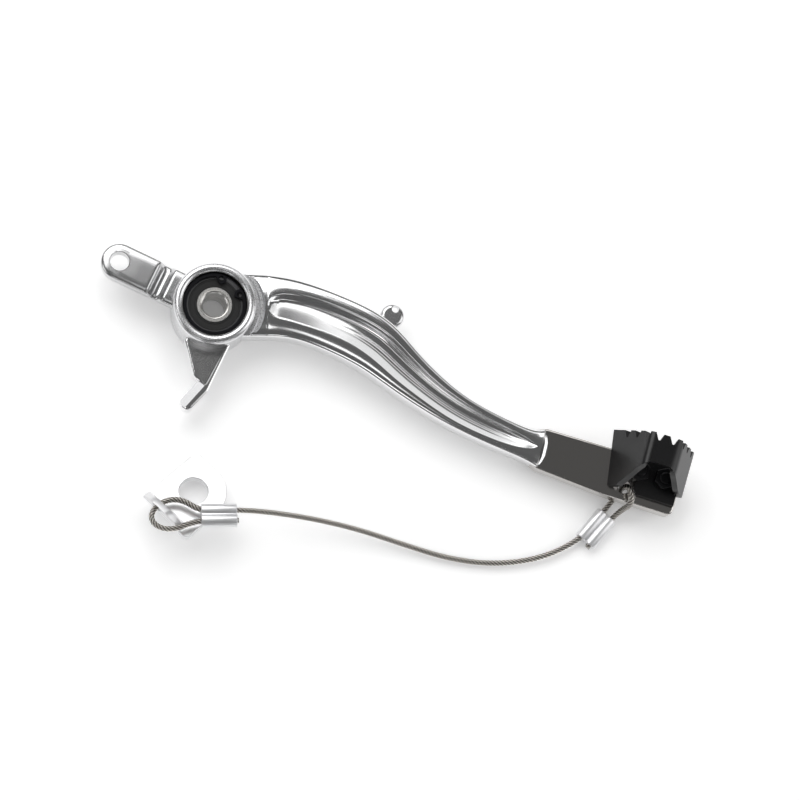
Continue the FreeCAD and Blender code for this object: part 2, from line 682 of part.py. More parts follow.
def tip_screws():
    solids = []
    for u in SCREW_US:
        top = BASE_TOP_Z + NUT_H + SCREW_PROUD
        shank = Part.makeCylinder(SCREW_R, top - BAR_BACK_Z, Vec(u, SCREW_V, BAR_BACK_Z))
        head = Part.makeCylinder(SCREW_HEAD_R, SCREW_HEAD_H, Vec(u, SCREW_V, TABLE_Z))
        head = head.makeChamfer(0.4, level_edges(head, TABLE_Z))
        socket = hexagon(SCREW_SOCKET_AF, TABLE_Z, TABLE_Z + SCREW_SOCKET_DEPTH, Vec(u, SCREW_V, 0))
        solids.append(head.fuse(shank).cut(socket))
    group = Part.makeCompound(solids)
    group.Placement = bar_place()
    return group


def tip_nuts():
    solids = []
    for u in SCREW_US:
        centre = Vec(u, SCREW_V, 0)
        nut = hexagon(NUT_AF, BASE_TOP_Z, BASE_TOP_Z + NUT_H, centre)
        bevel = Part.makeCone(NUT_AF * 0.62, NUT_AF * 0.5, NUT_H, Vec(u, SCREW_V, BASE_TOP_Z))
        bore = Part.makeCylinder(SCREW_R + SEAT_GAP, NUT_H, Vec(u, SCREW_V, BASE_TOP_Z))
        solids.append(nut.common(bevel).cut(bore))
    group = Part.makeCompound(solids)
    group.Placement = bar_place()
    return group


# Bearings and retaining ring

def race_groove(radius, z):
    """The groove that the balls run in, with the balls' play."""
    return Part.makeTorus(PITCH_R, radius, Vec(0, 0, z))


def inner_ring(z):
    low, high, c = z - BEARING_W / 2, z + BEARING_W / 2, RING_CHAMFER
    body = revolve([(BORE_R + c, low), (INNER_SHOULDER_R, low), (INNER_SHOULDER_R, high), (BORE_R + c, high),
                    (BORE_R, high - c), (BORE_R, low + c)])
    return body.cut(race_groove(BALL_R + BALL_PLAY, z))


def outer_ring(z):
    low, high, c = z - BEARING_W / 2, z + BEARING_W / 2, RING_CHAMFER
    seat = SEAL_RECESS + SEAL_T
    body = revolve([(OUTER_SHOULDER_R, low + seat), (SEAL_R, low + seat), (SEAL_R, low), (BEARING_R - c, low),
                    (BEARING_R, low + c), (BEARING_R, high - c), (BEARING_R - c, high), (SEAL_R, high),
                    (SEAL_R, high - seat), (OUTER_SHOULDER_R, high - seat)])
    return body.cut(race_groove(BALL_R + BALL_PLAY, z))


def ball_places(z):
    return [polar(PITCH_R, 360.0 * i / BALL_COUNT, z) for i in range(BALL_COUNT)]


def balls(z):
    return Part.makeCompound([Part.makeSphere(BALL_R, p) for p in ball_places(z)])


def cage(z):
    band = ring(PITCH_R - CAGE_WALL / 2, PITCH_R + CAGE_WALL / 2, z - CAGE_HALF_WIDTH, z + CAGE_HALF_WIDTH)
    pockets = []
    for place in ball_places(z):
        outward = Vec(place.x, place.y, 0) * (1 / PITCH_R)
        start = place - outward * CAGE_WALL
        pockets.append(Part.makeCylinder(BALL_R + CAGE_POCKET_PLAY, 2 * CAGE_WALL, start, outward))
    return band.cut(pockets)


def seal(z, side):
    """A moulded disc; side is +1 on the outboard face of its bearing and -1 on the inboard face."""
    face = z + side * (BEARING_W / 2 - SEAL_RECESS)
    low, high = min(face, face - side * SEAL_T), max(face, face - side * SEAL_T)
    disc = ring(INNER_SHOULDER_R + SEAL_LIP_GAP, SEAL_R - SEAT_GAP, low + SEAT_GAP, high)
    dish = ring(INNER_SHOULDER_R + 0.8, SEAL_R - 0.8, high - 0.15, high) if side > 0 else None
    return disc.cut(dish) if dish else disc


def retaining_ring():
    """An open ring with two eyed ends, sprung into the hub's groove."""
    z0 = STACK_HALF + (CLIP_GROOVE_W - CLIP_T) / 2
    outer = CLIP_GROOVE_R - CLIP_PLAY
    body = ring(outer - CLIP_WALL, outer, z0, z0 + CLIP_T)
    first, last = CLIP_LUG_ANGLES
    wedge = [ORIGIN, polar(3 * outer, first), polar(4 * outer, (first + last) / 2), polar(3 * outer, last)]
    gap = prism(wedge, z0 - 1, z0 + CLIP_T + 1)
    body = body.cut(gap)
    eyes = []
    for angle in CLIP_LUG_ANGLES:
        place = polar(CLIP_LUG_AT_R, angle, z0)
        body = body.fuse(Part.makeCylinder(CLIP_LUG_R, CLIP_T, place))
        eyes.append(Part.makeCylinder(CLIP_HOLE_R, CLIP_T, place))
    limit = Part.makeCylinder(BEARING_R - 0.1, CLIP_T, Vec(0, 0, z0))
    limit = limit.fuse(ring(outer - CLIP_WALL, outer, z0, z0 + CLIP_T))
    return body.common(limit).cut(eyes).removeSplitter()


# Cable, ferrules and bracket

def cable():
    """Straight runs joined by tangent arcs, each arc as large as its two runs allow."""
    points = [Vec(*p) for p in CABLE_ROUTE]
    edges, radii = [], []
    start = points[0]
    for before, corner, after in zip(points, points[1:], points[2:]):
        towards, away = corner - before, after - corner
        half_turn = towards.getAngle(away) / 2
        trim = 0.45 * min(towards.Length, away.Length)
        radii.append(trim / math.tan(half_turn))
        a = corner - towards * (trim / towards.Length)
        b = corner + away * (trim / away.Length)
        inward = (a + b) * 0.5 - corner
        sagitta = radii[-1] * (1 / math.cos(half_turn) - 1)
        middle = corner + inward * (sagitta / inward.Length)
        edges.append(Part.LineSegment(start, a).toShape())
        edges.append(Part.Arc(a, middle, b).toShape())
        start = b
    edges.append(Part.LineSegment(start, points[-1]).toShape())
    path = Part.Wire(edges)
    heading = points[1] - points[0]
    section = Part.Wire(Part.makeCircle(CABLE_R, points[0], heading))
    tube = path.makePipeShell([section], True, False, 2)
    print("cable radii", [round(r, 1) for r in radii])
    share = tube.Volume / (math.pi * CABLE_R ** 2 * path.Length)
    print("cable length", round(path.Length, 1), "volume share", round(share, 4))
    return tube


def ferrule(first, second):
    """A sleeve of two barrels, crimped over the straight stretches that start at two route points."""
    lines = [(Vec(*CABLE_ROUTE[i]), Vec(*CABLE_ROUTE[i + 2])) for i in (first, second)]
    along = lines[0][1] - lines[0][0]
    along.normalize()
    feet = [a + along * (lines[0][0] - a).dot(along) for a, _ in lines]
    starts = [(a - feet[0]).dot(along) for pair in lines for a in pair]
    ordered = sorted(starts)
    middle = (ordered[1] + ordered[2]) / 2
    base = middle - FERRULE_LENGTH / 2
    barrels = [Part.makeCylinder(FERRULE_R, FERRULE_LENGTH, f + along * base, along) for f in feet]
    sleeve = barrels[0].fuse(barrels[1]).removeSplitter()
    ends = [e for e in sleeve.Edges if abs(e.BoundBox.DiagonalLength) > FERRULE_R and len(e.Vertexes) == 2
            and abs((e.Vertexes[0].Point - e.Vertexes[1].Point).dot(along)) < 1e-6]
    sleeve = sleeve.makeChamfer(FERRULE_EDGE, ends)
    bores = [Part.makeCylinder(CABLE_R + FERRULE_BORE_GAP, FERRULE_LENGTH, f + along * base, along) for f in feet]
    return sleeve.cut(bores)


def anchor_bracket():
    """A flat plate with one rounded corner and a trapezoid tab folded up at one end."""
    t, bend = BRACKET_T, BRACKET_BEND_R
    flat_end = BRACKET_FOLD_D + t + bend
    corners = [Vec(BRACKET_FOLD_D, BRACKET_LOW_N, 0), Vec(BRACKET_END_D, BRACKET_LOW_N, 0),
               Vec(BRACKET_END_D, BRACKET_HIGH_N, 0), Vec(BRACKET_FOLD_D, BRACKET_HIGH_N, 0)]
    plate = prism(corners, -t, 0)
    plate = plate.makeFillet(BRACKET_BIG_CORNER_R, upright_edges(plate, [corners[1]], 0.1))
    small = upright_edges(plate, [corners[0], corners[2]], 0.1)
    plate = plate.makeFillet(BRACKET_SMALL_CORNER_R, small)
    base_low, base_high = BRACKET_TAB_BASE
    corner_block = Part.makeBox(t + bend, base_high - base_low + 1, t, Vec(BRACKET_FOLD_D, base_low, -t))
    plate = plate.cut(corner_block)
    wall = [Vec(BRACKET_FOLD_D, base_low, bend), Vec(BRACKET_FOLD_D, base_high, bend),
            Vec(BRACKET_FOLD_D - BRACKET_TAB_LEAN, BRACKET_TAB_TOP[1], BRACKET_TAB_HEIGHT),
            Vec(BRACKET_FOLD_D - BRACKET_TAB_LEAN, BRACKET_TAB_TOP[0], BRACKET_TAB_HEIGHT)]
    tab = Part.Face(Part.makePolygon(wall + wall[:1])).extrude(Vec(t, 0, 0))
    top = [e for e in tab.Edges if e.BoundBox.XLength > t - 0.01 and e.BoundBox.ZMin > BRACKET_TAB_HEIGHT - 0.01]
    tab = tab.makeFillet(BRACKET_TAB_CORNER_R, top)
    eye_start = Vec(BRACKET_FOLD_D - BRACKET_TAB_LEAN, BRACKET_EYE_N, BRACKET_EYE_Z)
    eye = Part.makeCylinder(BRACKET_EYE_R, t + BRACKET_TAB_LEAN, eye_start, Vec(1, 0, 0))
    tab = tab.cut(eye)
    axis_at = Vec(flat_end, base_low, bend)
    elbow = Part.makeCylinder(t + bend, base_high - base_low, axis_at, Vec(0, 1, 0))
    elbow = elbow.cut(Part.makeCylinder(bend, base_high - base_low, axis_at, Vec(0, 1, 0)))
    elbow = elbow.common(Part.makeBox(t + bend, base_high - base_low, t + bend, Vec(BRACKET_FOLD_D, base_low, -t)))
    bracket = plate.fuse([tab, elbow]).removeSplitter()
    bracket = bracket.cut(Part.makeCylinder(BRACKET_HOLE_R, t, Vec(0, 0, -t)))
    bracket.rotate(ORIGIN, UP, BRACKET_TURN)
    bracket.rotate(ORIGIN, Vec(1, 0, 0), -BRACKET_TILT)
    lift = TABLE_Z - bracket.BoundBox.ZMin
    bracket.translate(Vec(BRACKET_X, BRACKET_Y, lift))
    print("bracket hole centre z", round(lift, 3))
    return bracket


def build():
    """Every node of the part, by name."""
    nodes = {
        "pedal_arm": pedal_arm(),
        "foot_tip": foot_tip(),
        "tip_screws": tip_screws(),
        "tip_nuts": tip_nuts(),
        "retaining_ring": retaining_ring(),
        "brake_cable": cable(),
        "ferrule_pedal_end": ferrule(0, 10),
        "ferrule_bracket_end": ferrule(20, 28),
        "anchor_bracket": anchor_bracket(),
    }
    for side, name in ((1, "outboard"), (-1, "inboard")):
        z = side * BEARING_W / 2
        nodes[name + "_inner_ring"] = inner_ring(z)
        nodes[name + "_outer_ring"] = outer_ring(z)
        nodes[name + "_balls"] = balls(z)
        nodes[name + "_cage"] = cage(z)
        nodes[name + "_outer_seal"] = seal(z, 1)
        nodes[name + "_inner_seal"] = seal(z, -1)
    return nodes


def main():
    os.makedirs("parts", exist_ok=True)
    for name, shape in build().items():
        box = shape.BoundBox
        print(name, "valid", shape.isValid(), "solids", len(shape.Solids), "volume", round(shape.Volume, 1),
              "z", round(box.ZMin, 2), round(box.ZMax, 2))
        shape.exportStep(os.path.join("parts", name + ".step"))


main()
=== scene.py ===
"""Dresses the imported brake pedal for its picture.

The pedal lies on its inboard side on a white table. Lengths are in millimetres here and become metres when a
mesh is stored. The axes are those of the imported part: the origin is the middle of the bearing pair, and +Z
points outboard, towards the camera. In the bar's own frame u runs along the bar and v across it.
"""

import bisect
import logging
import math
from dataclasses import dataclass
from enum import Enum
from typing import Any, Iterable, Sequence

import bmesh
import bpy
from mathutils import Matrix, Vector

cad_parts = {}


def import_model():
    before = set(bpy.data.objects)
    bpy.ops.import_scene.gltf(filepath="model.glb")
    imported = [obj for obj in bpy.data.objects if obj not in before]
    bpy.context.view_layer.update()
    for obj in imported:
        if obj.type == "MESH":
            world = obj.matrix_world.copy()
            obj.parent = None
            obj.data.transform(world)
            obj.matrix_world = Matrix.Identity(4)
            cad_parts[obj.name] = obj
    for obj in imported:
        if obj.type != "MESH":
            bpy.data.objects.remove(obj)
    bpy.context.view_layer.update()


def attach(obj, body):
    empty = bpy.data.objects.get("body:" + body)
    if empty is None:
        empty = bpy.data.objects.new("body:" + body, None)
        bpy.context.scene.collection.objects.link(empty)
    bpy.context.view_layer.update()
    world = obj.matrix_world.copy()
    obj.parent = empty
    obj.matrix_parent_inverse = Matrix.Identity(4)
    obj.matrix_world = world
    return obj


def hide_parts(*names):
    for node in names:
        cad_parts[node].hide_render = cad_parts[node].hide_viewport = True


LOG = logging.getLogger("brake_pedal")

Point2 = tuple[float, float]
Point3 = tuple[float, float, float]
Grid = bmesh.types.BMesh
Mesh = bpy.types.Mesh
Item = bpy.types.Object

MM = 0.001
TABLE_Z = -12.0
BODY = "pedal"
SLEEVE = "inner_sleeve"

# Distances at which points count as one
SAME_PLACE = 1e-4
SEAM = 0.001
WELD = 0.002
SLIVER = 0.0005

# Angles in degrees from which an edge stays crisp, on cut, turned and round pieces
CUT_EDGE = 34.0
TURNED_EDGE = 30.0
ROUND_EDGE = 80.0

# Faces of this area and more, in square millimetres, are shaded flat
BROAD_FACE = 25.0


class MaterialSlot(Enum):
    """The record's material slots, listed beside the dressed pieces."""

    POLISHED_ALLOY = "polished_alloy"
    BLACK_STEEL = "black_steel"
    ZINC_STEEL = "zinc_steel"
    SPRING_STEEL = "dark_spring_steel"
    BEARING_STEEL = "bearing_steel"
    SEAL_RUBBER = "seal_rubber"
    STEEL_CABLE = "steel_cable"
    FERRULE_ALLOY = "ferrule_alloy"
    SATIN_ALLOY = "satin_alloy"


# Shaders


def add_node(tree: bpy.types.NodeTree, kind: str, values: dict[Any, Any] | None = None,
             operation: str = "") -> bpy.types.Node:
    """Adds a node to a tree.

    Args:
        tree: The tree to add to.
        kind: The node's type.
        values: Values of its inputs, by name or number.
        operation: The operation of a node that has one.

    Returns:
        The new node.
    """
    node = tree.nodes.new(kind)
    if operation:
        node.operation = operation
    for name, value in (values or {}).items():
        node.inputs[name].default_value = value
    return node


def wire(tree: bpy.types.NodeTree, *runs: tuple[bpy.types.Node, Any, bpy.types.Node, Any]) -> None:
    """Links nodes of a tree.

    Args:
        tree: The tree that holds them.
        runs: (node, output, node, input) of each link.
    """
    for source, output, target, into in runs:
        tree.links.new(source.outputs[output], target.inputs[into])


def new_material(name: str, values: dict[str, Any]) -> tuple[bpy.types.Material, bpy.types.Node]:
    """Makes a material of one shader.

    Args:
        name: The material's name.
        values: Values of the shader's inputs.

    Returns:
        The material and its shader.
    """
    material = bpy.data.materials.new(name)
    material.use_nodes = True
    tree = material.node_tree
    tree.nodes.clear()
    shader = add_node(tree, "ShaderNodeBsdfPrincipled", values)
    wire(tree, (shader, "BSDF", add_node(tree, "ShaderNodeOutputMaterial"), "Surface"))
    return material, shader


class GrainGroup:
    """A shared node group that turns object coordinates into a grain mask and a bumped normal."""

    NAME = "fine_grain"
    SOCKETS = (("Scale", "INPUT", "Float"), ("Strength", "INPUT", "Float"), ("Mask", "OUTPUT", "Float"),
               ("Normal", "OUTPUT", "Vector"))
    NOISE = {"Detail": 4.0, "Roughness": 0.65}
    RELIEF = {"Distance": 0.0001}
    USED_RANGE = (0.3, 0.7)

    @classmethod
    def get(cls) -> bpy.types.NodeTree:
        """Finds the group, or makes it on first use.

        Returns:
            The tree, with the inputs Scale and Strength and the outputs Mask and Normal.
        """
        found = bpy.data.node_groups.get(cls.NAME)
        if found is not None:
            return found
        tree = bpy.data.node_groups.new(cls.NAME, "ShaderNodeTree")
        for name, way, kind in cls.SOCKETS:
            tree.interface.new_socket(name, in_out=way, socket_type=f"NodeSocket{kind}")
        source, target = add_node(tree, "NodeGroupInput"), add_node(tree, "NodeGroupOutput")
        coords = add_node(tree, "ShaderNodeTexCoord")
        noise = add_node(tree, "ShaderNodeTexNoise", cls.NOISE)
        bump = add_node(tree, "ShaderNodeBump", cls.RELIEF)
        wire(tree, (coords, "Object", noise, "Vector"), (source, "Scale", noise, "Scale"),
             (noise, "Fac", bump, "Height"), (source, "Strength", bump, "Strength"),
             (noise, "Fac", target, "Mask"), (bump, "Normal", target, "Normal"))
        return tree


@dataclass(frozen=True)
class Finish:
    """One surface finish.

    Args:
        name: The material's name.
        colour: Linear base colour.
        rough: Lowest roughness.
        spread: How much the grain adds to the roughness.
        grain: Grain cells per metre.
        bump: Strength of the grain's bump.
        metallic: 0 or 1.
        transmission: How much light passes through.
        ior: Index of refraction.
        specular: Level of the mirror part of a surface that isn't metal.
    """

    name: str
    colour: Point3
    rough: float
    spread: float = 0.0
    grain: float = 1500.0
    bump: float = 0.0
    metallic: float = 1.0
    transmission: float = 0.0
    ior: float = 1.5
    specular: float = 0.5

    def build(self) -> bpy.types.Material:
        """Finds the material, or makes it on first use.

        Returns:
            The material, with its grain where it has one.
        """
        found = bpy.data.materials.get(self.name)
        if found is not None:
            return found
        material, shader = new_material(self.name, {
            "Base Color": (*self.colour, 1.0), "Metallic": self.metallic, "Roughness": self.rough,
            "Transmission Weight": self.transmission, "IOR": self.ior, "Specular IOR Level": self.specular})
        if self.bump or self.spread:
            tree = material.node_tree
            grain = add_node(tree, "ShaderNodeGroup")
            grain.node_tree = GrainGroup.get()
            grain.inputs["Scale"].default_value = self.grain
            grain.inputs["Strength"].default_value = self.bump
            low, high = GrainGroup.USED_RANGE
            ranged = add_node(tree, "ShaderNodeMapRange", {
                "From Min": low, "From Max": high, "To Min": self.rough, "To Max": self.rough + self.spread})
            wire(tree, (grain, "Mask", ranged, "Value"), (ranged, "Result", shader, "Roughness"),
                 (grain, "Normal", shader, "Normal"))
        return material


POLISHED = Finish("polished_forging", (0.86, 0.86, 0.865), rough=0.13, spread=0.04, grain=2600.0, bump=0.006)
FORGED = Finish("blasted_forging", (0.55, 0.55, 0.55), rough=0.2, spread=0.05, grain=900.0, bump=0.07)
# Tab and lug: the forging with a rougher grain and a darker colour; the darker colour is painted shade
BUFFED_PAINTED_SHADE = Finish("buffed_forging_painted_shade", (0.64, 0.64, 0.645), rough=0.2, spread=0.05, grain=2000.0, bump=0.008)
# The finger's planed slope: the forging in a darker colour, and the darker colour is painted shade
SLOPE_PAINTED_SHADE = Finish("planed_slope_painted_shade", (0.38, 0.38, 0.385), rough=0.24, spread=0.06, grain=1500.0, bump=0.01)
TURNED = Finish("turned_alloy", (0.80, 0.80, 0.81), rough=0.25, spread=0.07, grain=1800.0, bump=0.01)
SHADED_WALL = Finish("shaded_seat_wall", (0.03, 0.03, 0.031), rough=0.3, spread=0.08, grain=1800.0, bump=0.02)
MILLED = Finish("milled_alloy", (0.60, 0.58, 0.56), rough=0.14, spread=0.03, grain=2600.0, bump=0.01)
BLACK_PAINT = Finish("black_paint", (0.006, 0.006, 0.0065), rough=0.27, spread=0.06, grain=2400.0, bump=0.03,
                     metallic=0.0)
DARK_ZINC = Finish("dark_zinc", (0.035, 0.035, 0.037), rough=0.38, spread=0.08, grain=1800.0, bump=0.03)
SPRING = Finish("spring_black", (0.016, 0.016, 0.018), rough=0.35, spread=0.08, grain=2000.0, bump=0.03)
RING_STEEL = Finish("ground_steel", (0.66, 0.65, 0.63), rough=0.26, spread=0.06, grain=1500.0, bump=0.02)
# Outer rings: steel darkened to near black, which is painted shade of the deep seat they sit in
RACE_STEEL = Finish("race_steel_painted_shade", (0.10, 0.10, 0.103), rough=0.3, spread=0.06, grain=1500.0, bump=0.02)
BALL_STEEL = Finish("ball_steel", (0.75, 0.75, 0.76), rough=0.08)
RUBBER = Finish("seal_rubber", (0.008, 0.008, 0.009), rough=0.45, spread=0.15, grain=2500.0, bump=0.06,
                metallic=0.0, specular=0.25)
STRAND = Finish("cable_strand", (0.82, 0.79, 0.75), rough=0.28)
STRAND_DARK = Finish("cable_strand_shaded", (0.24, 0.225, 0.21), rough=0.3)
CLEAR_COAT = Finish("clear_coat", (0.98, 0.97, 0.95), rough=0.03, metallic=0.0, transmission=1.0, ior=1.3)
FERRULE = Finish("ferrule_alloy", (0.90, 0.90, 0.91), rough=0.16, spread=0.06, grain=700.0, bump=0.01)
SATIN = Finish("satin_alloy", (0.80, 0.80, 0.805), rough=0.38, spread=0.1, grain=1600.0, bump=0.04)


# Curves by station


class Spline:
    """A natural cubic spline through values at whole-number stations, straight beyond its ends."""

    def __init__(self, values: Sequence[float]) -> None:
        """Solves for the second derivatives.

        Args:
            values: One value per station.
        """
        n = len(values)
        self.values = list(values)
        self.second = [0.0] * n
        diagonal = [4.0] * n
        right = [0.0] * n
        for i in range(1, n - 1):
            right[i] = 6.0 * (values[i + 1] - 2.0 * values[i] + values[i - 1])
        for i in range(2, n - 1):
            factor = 1.0 / diagonal[i - 1]
            diagonal[i] -= factor
            right[i] -= factor * right[i - 1]
        for i in range(n - 2, 0, -1):
            self.second[i] = (right[i] - self.second[i + 1]) / diagonal[i]

    def piece(self, station: float) -> tuple[float, ...]:
        """Returns the place within a piece, and the values and second derivatives at the piece's ends."""
        i = min(max(int(station), 0), len(self.values) - 2)
        return station - i, *self.values[i:i + 2], *self.second[i:i + 2]

    def at(self, station: float) -> float:
        """Finds the curve's value.

        Args:
            station: Where, also beyond the ends.

        Returns:
            The value there.
        """
        end = min(max(station, 0.0), len(self.values) - 1.0)
        t, a, b, c, d = self.piece(end)
        value = a + t * (b - a - (2 * c + d) / 6) + t * t * c / 2 + t * t * t * (d - c) / 6
        return value + (station - end) * self.slope(end)

    def slope(self, station: float) -> float:
        """Returns the derivative at a station within the ends."""
        t, a, b, c, d = self.piece(station)
        return b - a - (2 * c + d) / 6 + t * c + t * t * (d - c) / 2


class Table:
    """Rows of values by uneven station, joined smoothly without overshoot."""

    def __init__(self, rows: Sequence[Sequence[float]]) -> None:
        """Sorts the rows into columns.

        Args:
            rows: The station and then the values of each row.
        """
        self.keys, *self.columns = zip(*rows)
        self.slopes = [self.slopes_of(column) for column in self.columns]

    def slopes_of(self, values: Sequence[float]) -> list[float]:
        """Works out a column's slopes, which are level at its peaks.

        Args:
            values: The column.

        Returns:
            The slope at each station.
        """
        steps = [(b - a) / (q - p) for a, b, p, q in zip(values, values[1:], self.keys, self.keys[1:])]
        inner = [0.0 if a * b <= 0 else 2 * a * b / (a + b) for a, b in zip(steps, steps[1:])]
        return [steps[0], *inner, steps[-1]]

    def at(self, station: float, column: int) -> float:
        """Finds a column's value, which is held beyond the ends.

        Args:
            station: Where.
            column: Which column, from 0.

        Returns:
            The value there.
        """
        values = self.columns[column]
        if station <= self.keys[0]:
            return values[0]
        if station >= self.keys[-1]:
            return values[-1]
        i = bisect.bisect_right(self.keys, station) - 1
        width = self.keys[i + 1] - self.keys[i]
        t = (station - self.keys[i]) / width
        m, n = (slope * width for slope in self.slopes[column][i:i + 2])
        a, b = values[i:i + 2]
        return (a * (1 + 2 * t) * (1 - t) ** 2 + m * t * (1 - t) ** 2 + b * t * t * (3 - 2 * t)
                + n * t * t * (t - 1))


def smooth(t: float) -> float:
    """Returns the smooth step of t, held to 0 and 1 outside that range."""
    t = min(max(t, 0.0), 1.0)
    return t * t * (3 - 2 * t)


def smoother(t: float) -> float:
    """Returns the smoother step of t, held to 0 and 1 outside that range."""
    t = min(max(t, 0.0), 1.0)
    return t * t * t * (t * (6 * t - 15) + 10)


# Outlines and meshes


def polar(radius: float, degrees: float, x: float = 0.0, y: float = 0.0) -> Point2:
    """Returns the plan point at that radius and angle from a centre."""
    angle = math.radians(degrees)
    return x + radius * math.cos(angle), y + radius * math.sin(angle)


def arc_points(x: float, y: float, radius: float, start: float, end: float, steps: int) -> list[Point2]:
    """Returns points along an arc, with angles in degrees."""
    return [polar(radius, start + (end - start) * k / steps, x, y) for k in range(steps + 1)]


def circle_outline(x: float, y: float, radius: float, count: int, start: float = 0.0) -> list[Point2]:
    """Returns the corners of a round or regular outline, the first one at an angle in degrees."""
    return arc_points(x, y, radius, start, start + 360, count)[:-1]


def frame_matrix(x: Vector, y: Vector, z: Vector, origin: Vector) -> Matrix:
    """Returns the matrix of a frame with those axes and that origin."""
    return Matrix.Translation(origin) @ Matrix((x, y, z)).transposed().to_4x4()


def add_skin(grid: Grid, rings: Sequence[Sequence[Vector]]) -> None:
    """Wraps a grid around equally long rings of points and closes its seam and its two ends.

    Args:
        grid: Mesh to add to.
        rings: The closed sections in order.
    """
    count = len(rings[0])
    made = bmesh.ops.create_grid(grid, x_segments=count, y_segments=len(rings) - 1, size=1.0)["verts"]
    for number, vert in enumerate(made):
        row, column = divmod(number, count + 1)
        vert.co = rings[row][column % count]
    bmesh.ops.remove_doubles(grid, verts=made, dist=SEAM)
    bmesh.ops.holes_fill(grid, edges=[e for e in grid.edges if e.is_boundary], sides=0)


def bevel(grid: Grid, edges: Sequence[bmesh.types.BMEdge], offset: float, segments: int) -> None:
    """Rounds edges.

    Args:
        grid: The mesh.
        edges: Its edges, which may be none.
        offset: How far the rounding reaches, which may be nothing.
        segments: Steps of the rounding.
    """
    if edges and offset > 0:
        bmesh.ops.bevel(grid, geom=list(edges), offset=offset, offset_type="OFFSET", segments=segments,
                        profile=0.5, affect="EDGES", clamp_overlap=True, material=-1)


def level_edges(grid: Grid, z: float) -> list[bmesh.types.BMEdge]:
    """Returns the edges that lie at that height."""
    return [e for e in grid.edges if all(abs(v.co.z - z) < SAME_PLACE for v in e.verts)]


def slab(corners: Sequence[Point3], low: float, high: float, top_round: float = 0.3, low_round: float = 0.3,
         corner_steps: int = 8, rim_steps: int = 3, place: Matrix | None = None) -> Grid:
    """Extrudes a plan outline and rounds its upright corners and its rims.

    Args:
        corners: (x, y, radius) of each plan corner, anticlockwise.
        low: Height of the underside.
        high: Height of the face.
        top_round: Radius of the upper rim.
        low_round: Radius of the lower rim.
        corner_steps: Steps of a corner's arc.
        rim_steps: Steps of a rim's arc.
        place: Where the plate's own frame lies.

    Returns:
        The plate as a new mesh.
    """
    grid = bmesh.new()
    base = grid.faces.new([grid.verts.new((x, y, low)) for x, y, _ in corners])
    grown = bmesh.ops.extrude_face_region(grid, geom=[base])["geom"]
    raised = [v for v in grown if isinstance(v, bmesh.types.BMVert)]
    bmesh.ops.translate(grid, vec=(0, 0, high - low), verts=raised)
    bmesh.ops.recalc_face_normals(grid, faces=grid.faces)
    for i, (x, y, radius) in enumerate(corners):
        if radius <= 0:
            continue
        here = Vector((x, y))
        back = here - Vector(corners[i - 1][:2])
        ahead = Vector(corners[(i + 1) % len(corners)][:2]) - here
        upright = [e for e in grid.edges if all((v.co.xy - here).length < SAME_PLACE for v in e.verts)]
        bevel(grid, upright, radius * math.tan(back.angle(ahead) / 2), corner_steps)
    bevel(grid, level_edges(grid, high), top_round, rim_steps)
    bevel(grid, level_edges(grid, low), low_round, rim_steps)
    if place is not None:
        bmesh.ops.transform(grid, matrix=place, verts=grid.verts)
    return grid


def plain_slab(outline: Sequence[Point2], low: float, high: float, top_round: float = 0.3,
               low_round: float = 0.3, rim_steps: int = 3, place: Matrix | None = None) -> Grid:
    """Extrudes an outline that needs no rounding in plan, as slab does."""
    return slab([(x, y, 0.0) for x, y in outline], low, high, top_round, low_round, 1, rim_steps, place)


def add_spun(grid: Grid, profile: Sequence[Point2], steps: int, z: float = 0.0, closed: bool = True,
             centre: Point2 = (0.0, 0.0)) -> None:
    """Adds a profile of (radius, height) turned about an upright axis.

    Args:
        grid: Mesh to add to.
        profile: Points of the profile.
        steps: Number of steps of the turn.
        z: Height added to the profile.
        closed: Whether the profile's last point joins its first one.
        centre: Where the axis stands.
    """
    verts = [grid.verts.new((centre[0] + r, centre[1], h + z)) for r, h in profile]
    edges = [grid.edges.new((a, b)) for a, b in zip(verts, verts[1:])]
    if closed:
        edges.append(grid.edges.new((verts[-1], verts[0])))
    bmesh.ops.spin(grid, geom=verts + edges, cent=(*centre, 0), axis=(0, 0, 1), angle=2 * math.pi, steps=steps,
                   use_merge=True, use_duplicate=False)


def mesh_from(grid: Grid, name: str) -> Mesh:
    """Closes up a mesh, turns its faces outwards and stores it in metres.

    Args:
        grid: The mesh in millimetres, which is used up.
        name: Its name.

    Returns:
        The stored mesh.
    """
    bmesh.ops.remove_doubles(grid, verts=grid.verts, dist=WELD)
    bmesh.ops.dissolve_degenerate(grid, dist=SLIVER, edges=grid.edges)
    bmesh.ops.recalc_face_normals(grid, faces=grid.faces)
    bmesh.ops.scale(grid, vec=(MM, MM, MM), verts=grid.verts)
    mesh = bpy.data.meshes.new(name)
    grid.to_mesh(mesh)
    grid.free()
    return mesh


def skinned(rings: Sequence[Sequence[Vector]], name: str) -> Mesh:
    """Returns the closed mesh around rings of points."""
    grid = bmesh.new()
    add_skin(grid, rings)
    return mesh_from(grid, name)


def spun(profile: Sequence[Point2], steps: int, name: str, z: float = 0.0, closed: bool = True,
         centre: Point2 = (0.0, 0.0)) -> Mesh:
    """Makes the mesh of one turned profile.

    Args:
        profile: (radius, height) of each point.
        steps: Number of steps of the turn.
        name: The mesh's name.
        z: Height added to the profile.
        closed: Whether the profile's last point joins its first one.
        centre: Where the axis stands.

    Returns:
        The mesh in metres.
    """
    grid = bmesh.new()
    add_spun(grid, profile, steps, z, closed, centre)
    return mesh_from(grid, name)


